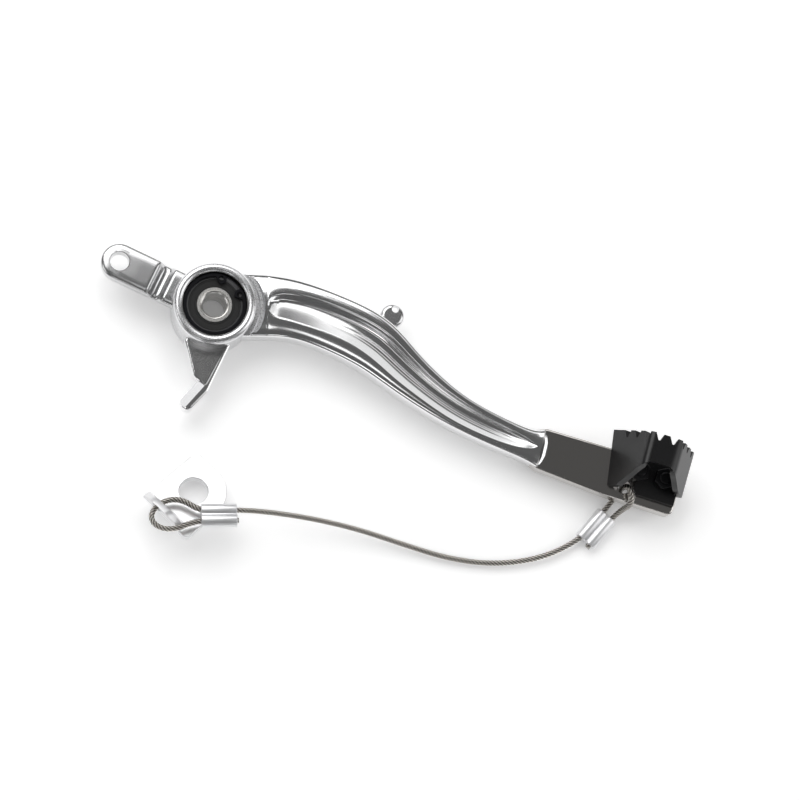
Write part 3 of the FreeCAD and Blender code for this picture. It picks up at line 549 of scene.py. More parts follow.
def drill(x: float, y: float, radius: float, back: float, face: float, mouth: float = 0.3,
          steps: int = 64) -> Mesh:
    """Makes the tool of a hole that also breaks the hole's two edges.

    Args:
        x: Place of the hole.
        y: Place of the hole.
        radius: Radius of the hole.
        back: Height of the plate's underside.
        face: Height of the plate's face.
        mouth: Width of the broken edges.
        steps: Sides of the tool.

    Returns:
        The tool in metres.
    """
    far = 1.0
    wide = radius + mouth + far
    profile = [(0.0, back - far), (wide, back - far), (radius, back + mouth), (radius, face - mouth),
               (wide, face + far), (0.0, face + far)]
    return spun(profile, steps, "drill", closed=False, centre=(x, y))


def rod(radius: float, depth: float, sides: int, name: str, place: Matrix | None = None) -> Mesh:
    """Makes a plain round bar.

    Args:
        radius: Its radius.
        depth: Its length.
        sides: Its number of sides.
        name: The mesh's name.
        place: Where its own frame lies, with the bar along its upright axis.

    Returns:
        The bar in metres.
    """
    grid = bmesh.new()
    bmesh.ops.create_cone(grid, cap_ends=True, segments=sides, radius1=radius, radius2=radius, depth=depth,
                          matrix=place or Matrix())
    return mesh_from(grid, name)


def with_finish(mesh: Mesh, finish: Finish) -> Mesh:
    """Returns the mesh of a tool with the finish that its cut leaves."""
    mesh.materials.append(finish.build())
    return mesh


def link_new(name: str, data: Any) -> Item:
    """Returns a new object of that data in the scene."""
    item = bpy.data.objects.new(name, data)
    bpy.context.scene.collection.objects.link(item)
    return item


def place_object(name: str, mesh: Mesh, *finishes: Finish) -> Item:
    """Returns a new object of a mesh with its finishes."""
    for finish in finishes:
        mesh.materials.append(finish.build())
    return link_new(name, mesh)


def shade(item: Item, degrees: float) -> None:
    """Shades smooth, with broad faces flat and sharp edges crisp.

    Args:
        item: The object to shade.
        degrees: The angle from which an edge is sharp.
    """
    grid = bmesh.new()
    grid.from_mesh(item.data)
    limit = math.radians(degrees)
    for face in grid.faces:
        face.smooth = len(face.verts) <= 4 and face.calc_area() < BROAD_FACE * MM * MM
    for edge in grid.edges:
        pair = edge.link_faces
        edge.smooth = (len(pair) == 2 and edge.calc_face_angle(0.0) < limit
                       and pair[0].material_index == pair[1].material_index)
    grid.to_mesh(item.data)
    grid.free()


def cut(item: Item, tools: Iterable[Mesh]) -> None:
    """Cuts closed meshes from an object, exactly.

    Args:
        item: The object to change.
        tools: Meshes in metres; the cut takes on a tool's finish where it has one.
    """
    for number, tool in enumerate(tools):
        helper = link_new(f"{item.name}_tool_{number}", tool)
        modifier = item.modifiers.new("cut", "BOOLEAN")
        modifier.operation = "DIFFERENCE"
        modifier.solver = "EXACT"
        if tool.materials:
            modifier.material_mode = "TRANSFER"
        modifier.object = helper
        bpy.context.view_layer.update()
        graph = bpy.context.evaluated_depsgraph_get()
        result = bpy.data.meshes.new_from_object(item.evaluated_get(graph))
        item.modifiers.clear()
        item.data = result
        bpy.data.objects.remove(helper)


def join_parts(name: str, parts: Sequence[Item], degrees: float) -> Item:
    """Shades objects and joins them into one, each with its own finish.

    Args:
        name: The new object's name.
        parts: The objects, which are used up.
        degrees: The angle from which an edge is sharp.

    Returns:
        The joined object.
    """
    grid = bmesh.new()
    finishes: list[bpy.types.Material] = []
    for part in parts:
        shade(part, degrees)
        own = list(part.data.materials)
        finishes += [m for m in own if m not in finishes]
        start = len(grid.faces)
        grid.from_mesh(part.data)
        grid.faces.ensure_lookup_table()
        for face in grid.faces[start:]:
            face.material_index = finishes.index(own[min(face.material_index, len(own) - 1)])
        bpy.data.objects.remove(part)
    mesh = bpy.data.meshes.new(name)
    grid.to_mesh(mesh)
    grid.free()
    for material in finishes:
        mesh.materials.append(material)
    return link_new(name, mesh)


def finish_piece(item: Item, body: str, slot: MaterialSlot, *nodes: str) -> Item:
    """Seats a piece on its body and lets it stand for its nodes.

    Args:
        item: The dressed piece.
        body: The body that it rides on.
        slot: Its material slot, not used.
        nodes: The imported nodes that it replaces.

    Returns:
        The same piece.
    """
    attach(item, body)
    if nodes:
        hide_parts(*nodes)
    return item


# The forged arm


@dataclass
class Blade:
    """The fluted stretch between hub and bar, as one wrapped grid.

    The stations hold plan x, plan y and half width, and are numbered from 0. The rows of the flute hold a
    station, the offsets of its upper and lower edge from the middle, and its depth. The streaks in it hold a
    share of the way from its valley to its upper edge, or to its lower edge where it is negative, and then a
    width and a weight.
    """

    stations: Sequence[Point3] = (
        (8.0, 0.6, 13.4), (24.5, 0.3, 13.1), (38.5, -2.4, 12.5), (53.1, -8.1, 12.4), (66.5, -15.5, 12.1),
        (78.0, -25.6, 10.4), (89.9, -35.6, 8.8), (103.1, -44.6, 7.6), (118.8, -52.6, 7.0), (131.0, -57.7, 7.0),
        (136.6, -59.5, 8.2),
    )
    flute_rows: Sequence[Sequence[float]] = (
        (0.85, 0.2, 0.2, 0.0), (0.87, 1.7, 1.6, 0.3), (0.91, 2.9, 2.8, 0.8), (0.97, 4.0, 3.7, 1.3),
        (1.07, 5.1, 4.4, 1.9), (1.2, 5.9, 4.9, 2.3), (1.35, 6.3, 5.1, 2.5), (2.0, 6.9, 5.6, 2.7),
        (3.0, 7.3, 5.4, 2.7), (4.0, 7.4, 6.0, 2.7), (5.0, 6.4, 5.8, 2.6), (6.0, 5.3, 5.2, 2.4),
        (7.0, 4.8, 4.9, 2.1), (8.0, 3.9, 4.1, 1.7), (8.5, 3.0, 3.3, 1.4), (9.0, 1.8, 2.1, 0.9),
        (9.3, 0.9, 1.1, 0.45), (9.5, 0.35, 0.4, 0.15), (9.62, 0.1, 0.1, 0.0),
    )
    deepening: float = 1.3
    valley: float = 0.42
    ramp_round: float = 0.16
    ripple: float = 0.3
    ripple_start: Point2 = (2.6, 1.6)
    ripple_end: Point2 = (8.9, 1.4)
    streaks: Sequence[Point3] = ((-0.22, 0.75, 1.0), (0.42, 0.5, 0.8), (-0.5, 0.7, 0.5))
    face_z: float = 6.5
    back_z: float = -5.5
    face_drop: float = 3.0
    back_drop: float = 1.5
    drop_start: float = 3.0
    drop_run: float = 6.0
    back_round: float = 1.5
    edge_rise: float = 3.0
    full_rise_height: float = 4.5
    low_rise_z: float = -1.0
    land_power: float = 2.25
    bar_face: float = 1.0
    shoulder_end: float = 10.53
    shoulder_station: float = 6.0
    shoulder_flare: float = 1.6
    land_steps: int = 14
    flute_steps: int = 26
    steep_steps: int = 18
    along: int = 420
    dense: Sequence[tuple[float, float, int]] = ((0.82, 1.35, 40), (8.5, 9.65, 30), (10.0, 10.53, 20))
    least_step: float = 0.002

    def __post_init__(self) -> None:
        """Lays the curves through the stations."""
        self.x, self.y, self.half = (Spline(column) for column in zip(*self.stations))
        self.flute = Table(self.flute_rows)
        self.last = len(self.stations) - 1.0

    def drop(self, t: float) -> float:
        """Returns how far the arm has come down towards the bar, from 0 to 1."""
        return smooth((t - self.drop_start) / self.drop_run)

    def frame_at(self, t: float) -> tuple[Vector, Vector]:
        """Finds the middle of a section.

        Args:
            t: The station, also beyond the last one.

        Returns:
            The centreline point and the sideways direction.
        """
        s = min(t, self.last)
        slope = Vector((self.x.slope(s), self.y.slope(s), 0.0)).normalized()
        centre = Vector((self.x.at(s), self.y.at(s), 0.0))
        centre += slope * max(t - self.last, 0.0) * self.shoulder_station
        return centre, Vector((-slope.y, slope.x, 0.0))

    def depth(self, t: float, offset: float) -> float:
        """Finds how deep the flute lies below the face: steep above its valley, a long ramp below it.

        Args:
            t: The station.
            offset: The distance across the arm, positive towards the upper edge.

        Returns:
            The depth with its streaks.
        """
        up, low, deep = (self.flute.at(t, column) for column in range(3))
        deep *= self.deepening
        valley = self.valley * up
        if offset >= valley:
            share = smoother((up - offset) / max(up - valley, 1e-6))
        else:
            run = min(max((valley - offset) / max(valley + low, 1e-6), 0.0), 1.0)
            soft = self.ramp_round
            share = 1.0 - (math.sqrt(run * run + soft * soft) - soft) / (math.sqrt(1.0 + soft * soft) - soft)
        (start, rising), (end, falling) = self.ripple_start, self.ripple_end
        streak = self.ripple * smooth((t - start) / rising) * smooth((end - t) / falling)
        lines = 0.0
        for place, width, weight in self.streaks:
            reach = up - valley if place > 0 else valley + low
            lines += weight * math.exp(-((offset - valley - place * reach) / width) ** 2)
        return deep * share + streak * lines

    def flute_offsets(self, t: float, side: int) -> list[float]:
        """Spreads samples over one half of the flute.

        Args:
            t: The station.
            side: 1 for the upper half, -1 for the lower one.

        Returns:
            Offsets from the flute's edge to its middle, as magnitudes.
        """
        count, steep = self.flute_steps, self.steep_steps
        if side < 0:
            low = self.flute.at(t, 1)
            return [low * (1 - k / count) for k in range(count)]
        up = self.flute.at(t, 0)
        valley = self.valley * up
        gentle = count - steep
        return ([up + (valley - up) * k / steep for k in range(steep)]
                + [valley * (1 - k / gentle) for k in range(gentle)])

    def land(self, t: float, side: int, half: float, face: float) -> list[Point2]:
        """Rounds the land between the arm's edge and the flute's edge.

        Args:
            t: The station.
            side: 1 for the upper edge, -1 for the lower one.
            half: The arm's half width there.
            face: The height of its face there.

        Returns:
            (offset, height) of each point from the arm's edge inwards.
        """
        rise = self.edge_rise * min(1.0, (face - self.low_rise_z) / self.full_rise_height)
        edge = self.flute.at(t, 0 if side > 0 else 1)
        power = 2.0 / self.land_power
        out = []
        for k in range(self.land_steps):
            angle = math.pi / 2 * (1 - k / self.land_steps)
            offset = edge + (half - edge) * math.sin(angle) ** power
            out.append((side * offset, face - rise + rise * math.cos(angle) ** power))
        return out

    def section(self, t: float) -> list[Vector]:
        """Works out one closed section.

        Args:
            t: The station.

        Returns:
            Its points, starting below the upper edge.
        """
        centre, across = self.frame_at(t)
        beyond = max(t - self.last, 0.0)
        half = self.half.at(min(t, self.last)) + beyond * self.shoulder_flare
        face = self.face_z - self.face_drop * self.drop(t)
        back = self.back_z - self.back_drop * self.drop(t)
        if beyond > 0.0:
            left = 1.0 - beyond / (self.shoulder_end - self.last)
            face = self.bar_face + (face - self.bar_face) * (1 - math.sqrt(max(0.0, 1 - left * left)))
        low = self.back_round
        rounding = arc_points(half - low, back + low, low, -90, 0, 4)
        points = rounding + self.land(t, 1, half, face)
        points += [(o, face - self.depth(t, o)) for o in self.flute_offsets(t, 1)]
        points.append((0.0, face - self.depth(t, 1e-4)))
        points += [(-o, face - self.depth(t, -o)) for o in reversed(self.flute_offsets(t, -1))]
        points += self.land(t, -1, half, face)[::-1]
        points += [(-o, z) for o, z in reversed(rounding)]
        return [centre + across * o + Vector((0, 0, z)) for o, z in points]

    def sample_stations(self) -> list[float]:
        """Spreads the sections along the arm.

        Returns:
            Their stations, closer together at the flute's ends and on the shoulder.
        """
        out = [self.shoulder_end * k / self.along for k in range(self.along + 1)]
        for low, high, count in self.dense:
            out += [low + (high - low) * k / count for k in range(count + 1)]
        out = sorted(set(round(t, 5) for t in out))
        return [t for i, t in enumerate(out) if i == 0 or t - out[i - 1] > self.least_step]

    def mesh(self) -> Mesh:
        """Returns the closed blade."""
        return skinned([self.section(t) for t in self.sample_stations()], "blade")


@dataclass
class ClevisTab:
    """The tab with its eye, on a sloped and grooved neck.

    The profile holds a radius and the face's height there.
    """

    angle: float = 154.0
    hole_at: float = 43.2
    hole_r: float = 4.0
    hole_mouth: float = 0.35
    half: float = 7.7
    face: float = 4.8
    back: float = -2.4
    rim_width: float = 3.0
    rim_height: float = 1.3
    first_r: float = 10.0
    step: float = 0.45
    end_steps: int = 26
    profile: Sequence[Point2] = (
        (8.0, 4.0), (20.2, 4.0), (20.9, 3.6), (22.6, 1.9), (23.6, 1.5), (25.0, 1.6), (26.0, 2.3), (27.4, 4.2),
        (28.2, 4.75), (29.2, 4.8), (34.0, 4.8), (40.0, 4.74), (46.0, 4.63), (52.0, 4.4),
    )
    half_shares: Sequence[float] = (1.0, 0.985, 0.96, 0.925, 0.88, 0.82, 0.7, 0.5, 0.25)

    def width(self, r: float) -> float:
        """Returns the half width at a radius."""
        return math.sqrt(max(self.half ** 2 - max(r - self.hole_at, 0.0) ** 2, 0.0))

    def rounding(self, r: float, w: float) -> float:
        """Finds how far the rim falls off.

        Args:
            r: The radius of a point.
            w: Its offset from the tab's middle.

        Returns:
            The height that the rounded rim loses there.
        """
        distance = max(self.half - math.hypot(max(r - self.hole_at, 0.0), w), 0.0)
        short = max(1.0 - distance / self.rim_width, 0.0)
        return self.rim_height * (1 - math.sqrt(max(1 - short * short, 0.0)))

    def mesh(self) -> Mesh:
        """Wraps the tab's sections.

        Returns:
            The tab without its eye.
        """
        height = Table(self.profile)
        count = int((self.hole_at - self.first_r) / self.step)
        radii = [self.first_r + self.step * k for k in range(count)]
        quarter = math.pi / 2 / self.end_steps
        radii += [self.hole_at + self.half * math.sin(quarter * k) for k in range(self.end_steps)]
        shares = [-s for s in self.half_shares] + [0.0] + list(reversed(self.half_shares))
        place = Matrix.Rotation(math.radians(self.angle), 4, "Z")
        sections = []
        for r in radii:
            offsets = [self.width(r) * share for share in shares]
            top = [(w, height.at(r, 0) - self.rounding(r, w)) for w in offsets]
            low = [(w, self.back + self.rounding(r, w)) for w in reversed(offsets)]
            sections.append([place @ Vector((r, w, z)) for w, z in low + top])
        return skinned(sections, "tab")

    def eye(self) -> Mesh:
        """Returns the drill of the eye."""
        return drill(*polar(self.hole_at, self.angle), self.hole_r, self.back, self.face, self.hole_mouth)


@dataclass
class StopHook:
    """The hook below the hub, with a sunk pocket and a crooked finger that slopes on one half."""

    low: float = -4.5
    face: float = 3.0
    rims: Point2 = (1.0, 0.9)
    pocket_floor: float = 2.0
    floor_round: float = 0.4
    corners: Sequence[Point3] = (
        (-12.3, -14.2, 0.0), (-9.0, -28.6, 1.2), (-6.9, -31.0, 1.2), (-15.6, -40.6, 2.8), (-11.3, -44.5, 2.8),
        (-2.7, -35.6, 4.0), (6.6, -16.8, 0.0), (8.0, -8.0, 0.0), (-10.0, -8.0, 0.0),
    )
    pocket_corners: Sequence[Point3] = (
        (-10.8, -14.4, 0.3), (-7.6, -28.2, 0.5), (-5.5, -30.8, 0.4), (-4.2, -33.0, 0.6), (-3.2, -32.6, 0.8),
        (5.0, -17.4, 0.5), (5.6, -12.0, 0.0), (-10.8, -12.0, 0.0),
    )
    slope_start: Point2 = (-4.3, -33.4)
    slope_along: Point2 = (-0.671, -0.741)
    slope_angle: float = 10.5
    slope_height: float = 7.0
    slope_plan: Sequence[Point2] = ((-0.2, -8.0), (18.0, -8.0), (18.0, 0.0), (-0.2, 0.0))

    def mesh(self) -> Mesh:
        """Returns the hook before its cuts."""
        return mesh_from(slab(self.corners, self.low, self.face, *self.rims, 7, 4), "hook")

    def pocket(self) -> Mesh:
        """Returns the tool that sinks the pocket."""
        tool = slab(self.pocket_corners, self.pocket_floor, self.face + 3.0, 0.0, self.floor_round)
        return with_finish(mesh_from(tool, "pocket"), FORGED)

    def planer(self) -> Mesh:
        """Makes the tool that slopes the upper left half of the finger.

        Returns:
            The tool in metres.
        """
        x, y = self.slope_along
        place = frame_matrix(Vector((x, y, 0)), Vector((-y, x, 0)), Vector((0, 0, 1)),
                             Vector((*self.slope_start, self.face)))
        place = place @ Matrix.Rotation(math.radians(self.slope_angle), 4, "X")
        tool = plain_slab(self.slope_plan, 0.0, self.slope_height, 0.0, 0.0, 1, place)
        # The cut gives the slope its darker colour, which is painted shade
        return with_finish(mesh_from(tool, "planer"), SLOPE_PAINTED_SHADE)


@dataclass
class PedalArm:
    """The whole forging: hub, blade, tab, hook, lug and bar."""

    hub_r: float = 17.25
    hub_face: float = 11.5
    hub_back: float = -12.0
    hub_rim: float = 2.05
    hub_back_round: float = 1.0
    hub_steps: int = 160
    seat_r: float = 13.01
    seat_end: float = -8.0
    stop_r: float = 11.0
    stop_chamfer: float = 0.6
    ring_groove: Point3 = (13.6, 8.0, 9.3)
    wall_width: float = 0.45
    core_r: float = 15.6
    relief_steps: Sequence[Point2] = ((15.0, 4.4), (19.0, 4.4), (19.4, 5.1), (20.6, 5.1), (21.2, 5.7),
                                      (21.6, 12.0), (15.0, 12.0))
    lug_place: Point2 = (75.3, -3.0)
    lug_r: float = 5.0
    lug_z: Point2 = (-3.0, 1.6)
    lug_rims: Point2 = (1.5, 0.8)
    spring_eye: Point3 = (76.6, -0.2, 1.5)
    bar_start: Point2 = (137.4, -59.6)
    bar_angle: float = -18.0
    bar_z: Point2 = (-7.0, 1.0)
    bar_rims: Point2 = (0.9, 0.6)
    bar_corners: Sequence[Point3] = (
        (-4.0, -7.3, 0.0), (0.0, -8.9, 0.0), (30.0, -10.8, 0.0), (60.8, -10.8, 2.6), (60.8, 9.5, 2.6),
        (30.0, 9.5, 0.0), (0.0, 8.9, 0.0), (-4.0, 7.3, 0.0),
    )
    bar_holes: Sequence[Point3] = ((37.9, -4.9, 2.8), (41.6, 2.6, 2.65), (52.6, 2.6, 2.65))

    def bar_place(self) -> Matrix:
        """Returns where the bar's own frame lies."""
        turn = Matrix.Rotation(math.radians(self.bar_angle), 4, "Z")
        return Matrix.Translation((*self.bar_start, 0.0)) @ turn

    def hub(self) -> Mesh:
        """Turns the hub.

        Returns:
            The hub, with the seat's upper wall as its second material.
        """
        r, back, seat, stop = self.hub_r, self.hub_back, self.seat_r, self.stop_r
        rim, low, bevelled = self.hub_rim, self.hub_back_round, self.stop_chamfer
        crown = self.hub_face - rim
        groove_r, groove_low, groove_high = self.ring_groove
        profile = [(stop, self.seat_end), (stop, back + bevelled), (stop + bevelled, back), (r - low, back)]
        profile += arc_points(r - low, back + low, low, -60, 0, 3)
        profile.append((r, crown))
        profile += arc_points(r - rim, crown, rim, 5, 172, 22)
        profile += [(seat, crown - 0.1), (seat, groove_high), (groove_r, groove_high), (groove_r, groove_low),
                    (seat, groove_low), (seat, self.seat_end)]
        grid = bmesh.new()
        add_spun(grid, profile, self.hub_steps)
        for face in grid.faces:
            middle = face.calc_center_median()
            face.material_index = int(middle.xy.length < seat + self.wall_width and middle.z > 0.0)
        return mesh_from(grid, "hub")

    def core(self) -> Mesh:
        """Returns the round core that keeps the side pieces out of the hub's bore."""
        return rod(self.core_r, 40.0, 128, "core")

    def blade(self) -> Item:
        """Returns the blade, cleared for the hub and turned down beside it."""
        item = place_object("arm_blade", Blade().mesh(), POLISHED)
        cut(item, [self.core(), with_finish(spun(self.relief_steps, 200, "relief"), TURNED)])
        return item

    def tab(self) -> Item:
        """Returns the clevis tab."""
        item = place_object("arm_tab", ClevisTab().mesh(), BUFFED_PAINTED_SHADE)
        cut(item, [self.core(), ClevisTab().eye()])
        return item

    def hook(self) -> Item:
        """Returns the stop hook."""
        item = place_object("arm_hook", StopHook().mesh(), POLISHED)
        cut(item, [StopHook().planer(), StopHook().pocket(), self.core()])
        return item

    def lug(self) -> Item:
        """Makes the spring lug.

        Returns:
            The lug with its eye.
        """
        outline = circle_outline(*self.lug_place, self.lug_r, 56)
        mesh = mesh_from(plain_slab(outline, *self.lug_z, *self.lug_rims, 5), "lug")
        item = place_object("arm_lug", mesh, BUFFED_PAINTED_SHADE)
        cut(item, [drill(*self.spring_eye, *self.lug_z, steps=40)])
        return item

    def bar(self) -> Item:
        """Makes the flat bar.

        Returns:
            The bar with the cable's hole and the two screw holes.
        """
        place = self.bar_place()
        mesh = mesh_from(slab(self.bar_corners, *self.bar_z, *self.bar_rims, 7, 3, place), "bar")
        item = place_object("arm_bar", mesh, MILLED)
        spots = [(place @ Vector((u, v, 0.0)), radius) for u, v, radius in self.bar_holes]
        cut(item, [drill(spot.x, spot.y, radius, *self.bar_z, steps=48) for spot, radius in spots])
        return item

    def build(self) -> Item:
        """Dresses the arm.

        Returns:
            All its parts as one piece.
        """
        hub = place_object("arm_hub", self.hub(), TURNED, SHADED_WALL)
        parts = [hub, self.blade(), self.tab(), self.hook(), self.lug(), self.bar()]
        arm = join_parts("pedal_arm_dressed", parts, CUT_EDGE)
        return finish_piece(arm, BODY, MaterialSlot.POLISHED_ALLOY, "pedal_arm")


# The foot tip


@dataclass
class FootTip:
    """A steel strip folded into a trapezoid hoop, with teeth along its upper edge.

    The arch holds u and the height across the bar of the strip's lower edge.
    """

    place: Matrix
    thick: float = 2.5
    base_z: float = 1.0
    height: float = 20.5
    crown: Point2 = (39.8, 53.2)
    end_u: float = 64.4
    last_fold: float = 12.0
    foot_low: float = 30.6
    foot_high: float = 27.0
    low_v: float = -6.4
    high_v: float = 17.2
    bend: float = 3.4
    fold_steps: int = 8
    rows: int = 10
    even_columns: int = 90
    tooth_first: float = 9.0
    tooth_pitch: float = 6.15
    tooth_count: int = 8
    tooth_depth: float = 3.0
    notch_mouth: float = 1.8
    notch_floor: float = 0.4
    notch_margin: float = 2.0
    edge_round: float = 0.28
    arch: Sequence[Point2] = ((28.0, -6.4), (32.6, -6.4), (35.2, -3.6), (39.4, 2.2), (44.0, 4.8), (50.6, 4.9),
                              (55.4, 1.4), (59.4, -2.4), (66.0, -2.7))
    base_v: Point3 = (-7.0, -1.2, 9.2)
    base_u: Point3 = (33.6, 41.2, 59.8)
    base_rims: Point2 = (0.25, 0.1)

    def corners(self, v: float) -> list[Point2]:
        """Finds the outer fold lines.

        Args:
            v: Place across the bar.

        Returns:
            (u, z) of the foot, both ends of the crown, the far foot and the end of the last fold.
        """
        share = (v - self.low_v) / (self.high_v - self.low_v)
        foot = self.foot_low + (self.foot_high - self.foot_low) * share
        top = self.base_z + self.height
        return [(foot, self.base_z), (self.crown[0], top), (self.crown[1], top), (self.end_u, self.base_z),
                (self.end_u - self.last_fold, self.base_z)]

    def path(self, v: float) -> list[tuple[float, Point2, Point2]]:
        """Follows the folded strip.

        Args:
            v: Place across the bar.

        Returns:
            (distance along the folds, outer point, inner point) of each sample.
        """
        corner = [Vector(c) for c in self.corners(v)]
        ahead = (corner[1] - corner[0]).normalized()
        inner = corner[0] + Vector((ahead.y, -ahead.x)) * self.thick
        slide = (self.base_z - inner.y) / ahead.y
        out = [(0.0, tuple(corner[0]), tuple(inner + ahead * slide))]
        length = 0.0
        for before, here, after in zip(corner, corner[1:], corner[2:]):
            length += (here - before).length
            back = (here - before).normalized()
            turn = back.angle((after - here).normalized())
            trim = self.bend * math.tan(turn / 2)
            start = here - back * trim
            centre = start + Vector((back.y, -back.x)) * self.bend
            for k in range(self.fold_steps + 1):
                arm = start - centre
                arm.rotate(Matrix.Rotation(-turn * k / self.fold_steps, 2))
                out.append((length - trim + 2 * trim * k / self.fold_steps, tuple(centre + arm),
                            tuple(centre + arm * ((self.bend - self.thick) / self.bend))))
        return out

    def sample(self, v: float, s: float) -> tuple[Vector, Vector]:
        """Finds a place on the strip.

        Args:
            v: Place across the bar.
            s: Distance along the folds.

        Returns:
            The outer and the inner point there.
        """
        path = self.path(v)
        spot = min(max(bisect.bisect_left([step[0] for step in path], s), 1), len(path) - 1)
        (s0, outer0, inner0), (s1, outer1, inner1) = path[spot - 1:spot + 1]
        t = min(max((s - s0) / max(s1 - s0, 1e-9), 0.0), 1.0)
        return Vector(outer0).lerp(Vector(outer1), t), Vector(inner0).lerp(Vector(inner1), t)

    def columns(self) -> list[Point2]:
        """Spreads the columns of points along the strip.

        Returns:
            (distance along the folds, depth of the notch) of each column.
        """
        total = self.path(self.high_v)[-1][0]
        marks = {round(total * k / self.even_columns, 4): 0.0 for k in range(self.even_columns + 1)}
        notches: dict[float, float] = {}
        mouth, floor = self.notch_mouth, self.notch_floor
        for n in range(self.tooth_count):
            middle = self.tooth_first + self.tooth_pitch * n
            for offset, share in ((-mouth, 0.0), (-floor, 1.0), (floor, 1.0), (mouth, 0.0)):
                notches[round(middle + offset, 4)] = share * self.tooth_depth
            marks = {mark: deep for mark, deep in marks.items() if abs(mark - middle) >= self.notch_margin}
        return sorted((marks | notches).items())

    def hoop(self) -> Mesh:
        """Folds the strip.

        Returns:
            The hoop as a closed mesh.
        """
        lower_edge = Table(self.arch)
        rings = []
        for s, notch in self.columns():
            bottom = lower_edge.at(self.sample(self.low_v, s)[0].x, 0)
            top = self.high_v - notch
            heights = [bottom + (top - bottom) * k / self.rows for k in range(self.rows + 1)]
            pairs = [(v, *self.sample(v, s)) for v in heights]
            ring = [self.place @ Vector((outer.x, v, outer.y)) for v, outer, _ in pairs]
            ring += [self.place @ Vector((inner.x, v, inner.y)) for v, _, inner in reversed(pairs)]
            rings.append(ring)
        return skinned(rings, "hoop")

    def base(self) -> Mesh:
        """Draws the base plate between bar and nuts.

        Returns:
            The plate, notched for the cable.
        """
        (left, step, right), (low, notch, high) = self.base_u, self.base_v
        corners = [(step, low, 0.6), (right, low, 0.0), (right, high, 0.0), (left, high, 0.6),
                   (left, notch, 0.4), (step, notch, 0.8)]
        grid = slab(corners, self.base_z, self.base_z + self.thick, *self.base_rims, 4, 2, self.place)
        return mesh_from(grid, "base")

    def build(self) -> Item:
        """Dresses the tip.

        Returns:
            Hoop and base as one piece with rounded edges.
        """
        parts = [place_object("tip_hoop", self.hoop(), BLACK_PAINT),
                 place_object("tip_base", self.base(), BLACK_PAINT)]
        tip = join_parts("foot_tip_dressed", parts, CUT_EDGE)
        rounded = tip.modifiers.new("edge", "BEVEL")
        rounded.width = self.edge_round * MM
        rounded.segments = 2
        rounded.limit_method = "ANGLE"
        rounded.angle_limit = math.radians(50)
        rounded.harden_normals = False
        return finish_piece(tip, BODY, MaterialSlot.BLACK_STEEL, "foot_tip")


@dataclass
class TipFasteners:
    """Cap screws below the bar and nuts inside the hoop."""

    place: Matrix
    spots: Sequence[Point2] = ((41.6, 2.6), (52.6, 2.6))
    head_r: float = 4.25
    head_z: Point2 = (-12.0, -7.0)
    socket_r: float = 2.31
    socket_z: Point2 = (-13.0, -9.5)
    shank_r: float = 2.48
    shank_z: Point2 = (-7.5, 8.5)
    nut_r: float = 4.6
    nut_z: Point2 = (3.5, 7.5)
    nut_corner: float = 0.15
    head_rims: Point2 = (0.2, 0.45)
    shank_rims: Point2 = (0.45, 0.0)
    nut_rims: Point2 = (0.45, 0.3)

    def screw(self, number: int, u: float, v: float) -> list[Item]:
        """Makes one cap screw.

        Args:
            number: Its number, for its name.
            u: Its place along the bar.
            v: Its place across the bar.

        Returns:
            The head with its socket, and the shank.
        """
        head = plain_slab(circle_outline(u, v, self.head_r, 48), *self.head_z, *self.head_rims, 3, self.place)
        shank = plain_slab(circle_outline(u, v, self.shank_r, 32), *self.shank_z, *self.shank_rims, 2,
                           self.place)
        socket = plain_slab(circle_outline(u, v, self.socket_r, 6), *self.socket_z, 0.0, 0.0, 1, self.place)
        item = place_object(f"screw_head_{number}", mesh_from(head, "head"), DARK_ZINC)
        cut(item, [mesh_from(socket, "socket")])
        return [item, place_object(f"screw_shank_{number}", mesh_from(shank, "shank"), DARK_ZINC)]

    def nut(self, number: int, u: float, v: float) -> Item:
        """Makes one nut.

        Args:
            number: Its number, for its name.
            u: Its place along the bar.
            v: Its place across the bar.

        Returns:
            The nut.
        """
        hexagon = [(x, y, self.nut_corner) for x, y in circle_outline(u, v, self.nut_r, 6, 30)]
        mesh = mesh_from(slab(hexagon, *self.nut_z, *self.nut_rims, 2, 3, self.place), "nut")
        return place_object(f"nut_{number}", mesh, DARK_ZINC)

    def build(self) -> list[Item]:
        """Dresses the fasteners.

        Returns:
            The screws as one piece and the nuts as another.
        """
        screws = [part for n, (u, v) in enumerate(self.spots) for part in self.screw(n, u, v)]
        nuts = [self.nut(n, u, v) for n, (u, v) in enumerate(self.spots)]
        joined = {node: join_parts(f"{node}_dressed", group, TURNED_EDGE)
                  for node, group in (("tip_screws", screws), ("tip_nuts", nuts))}
        return [finish_piece(item, BODY, MaterialSlot.ZINC_STEEL, node) for node, item in joined.items()]


# Bearings and retaining ring


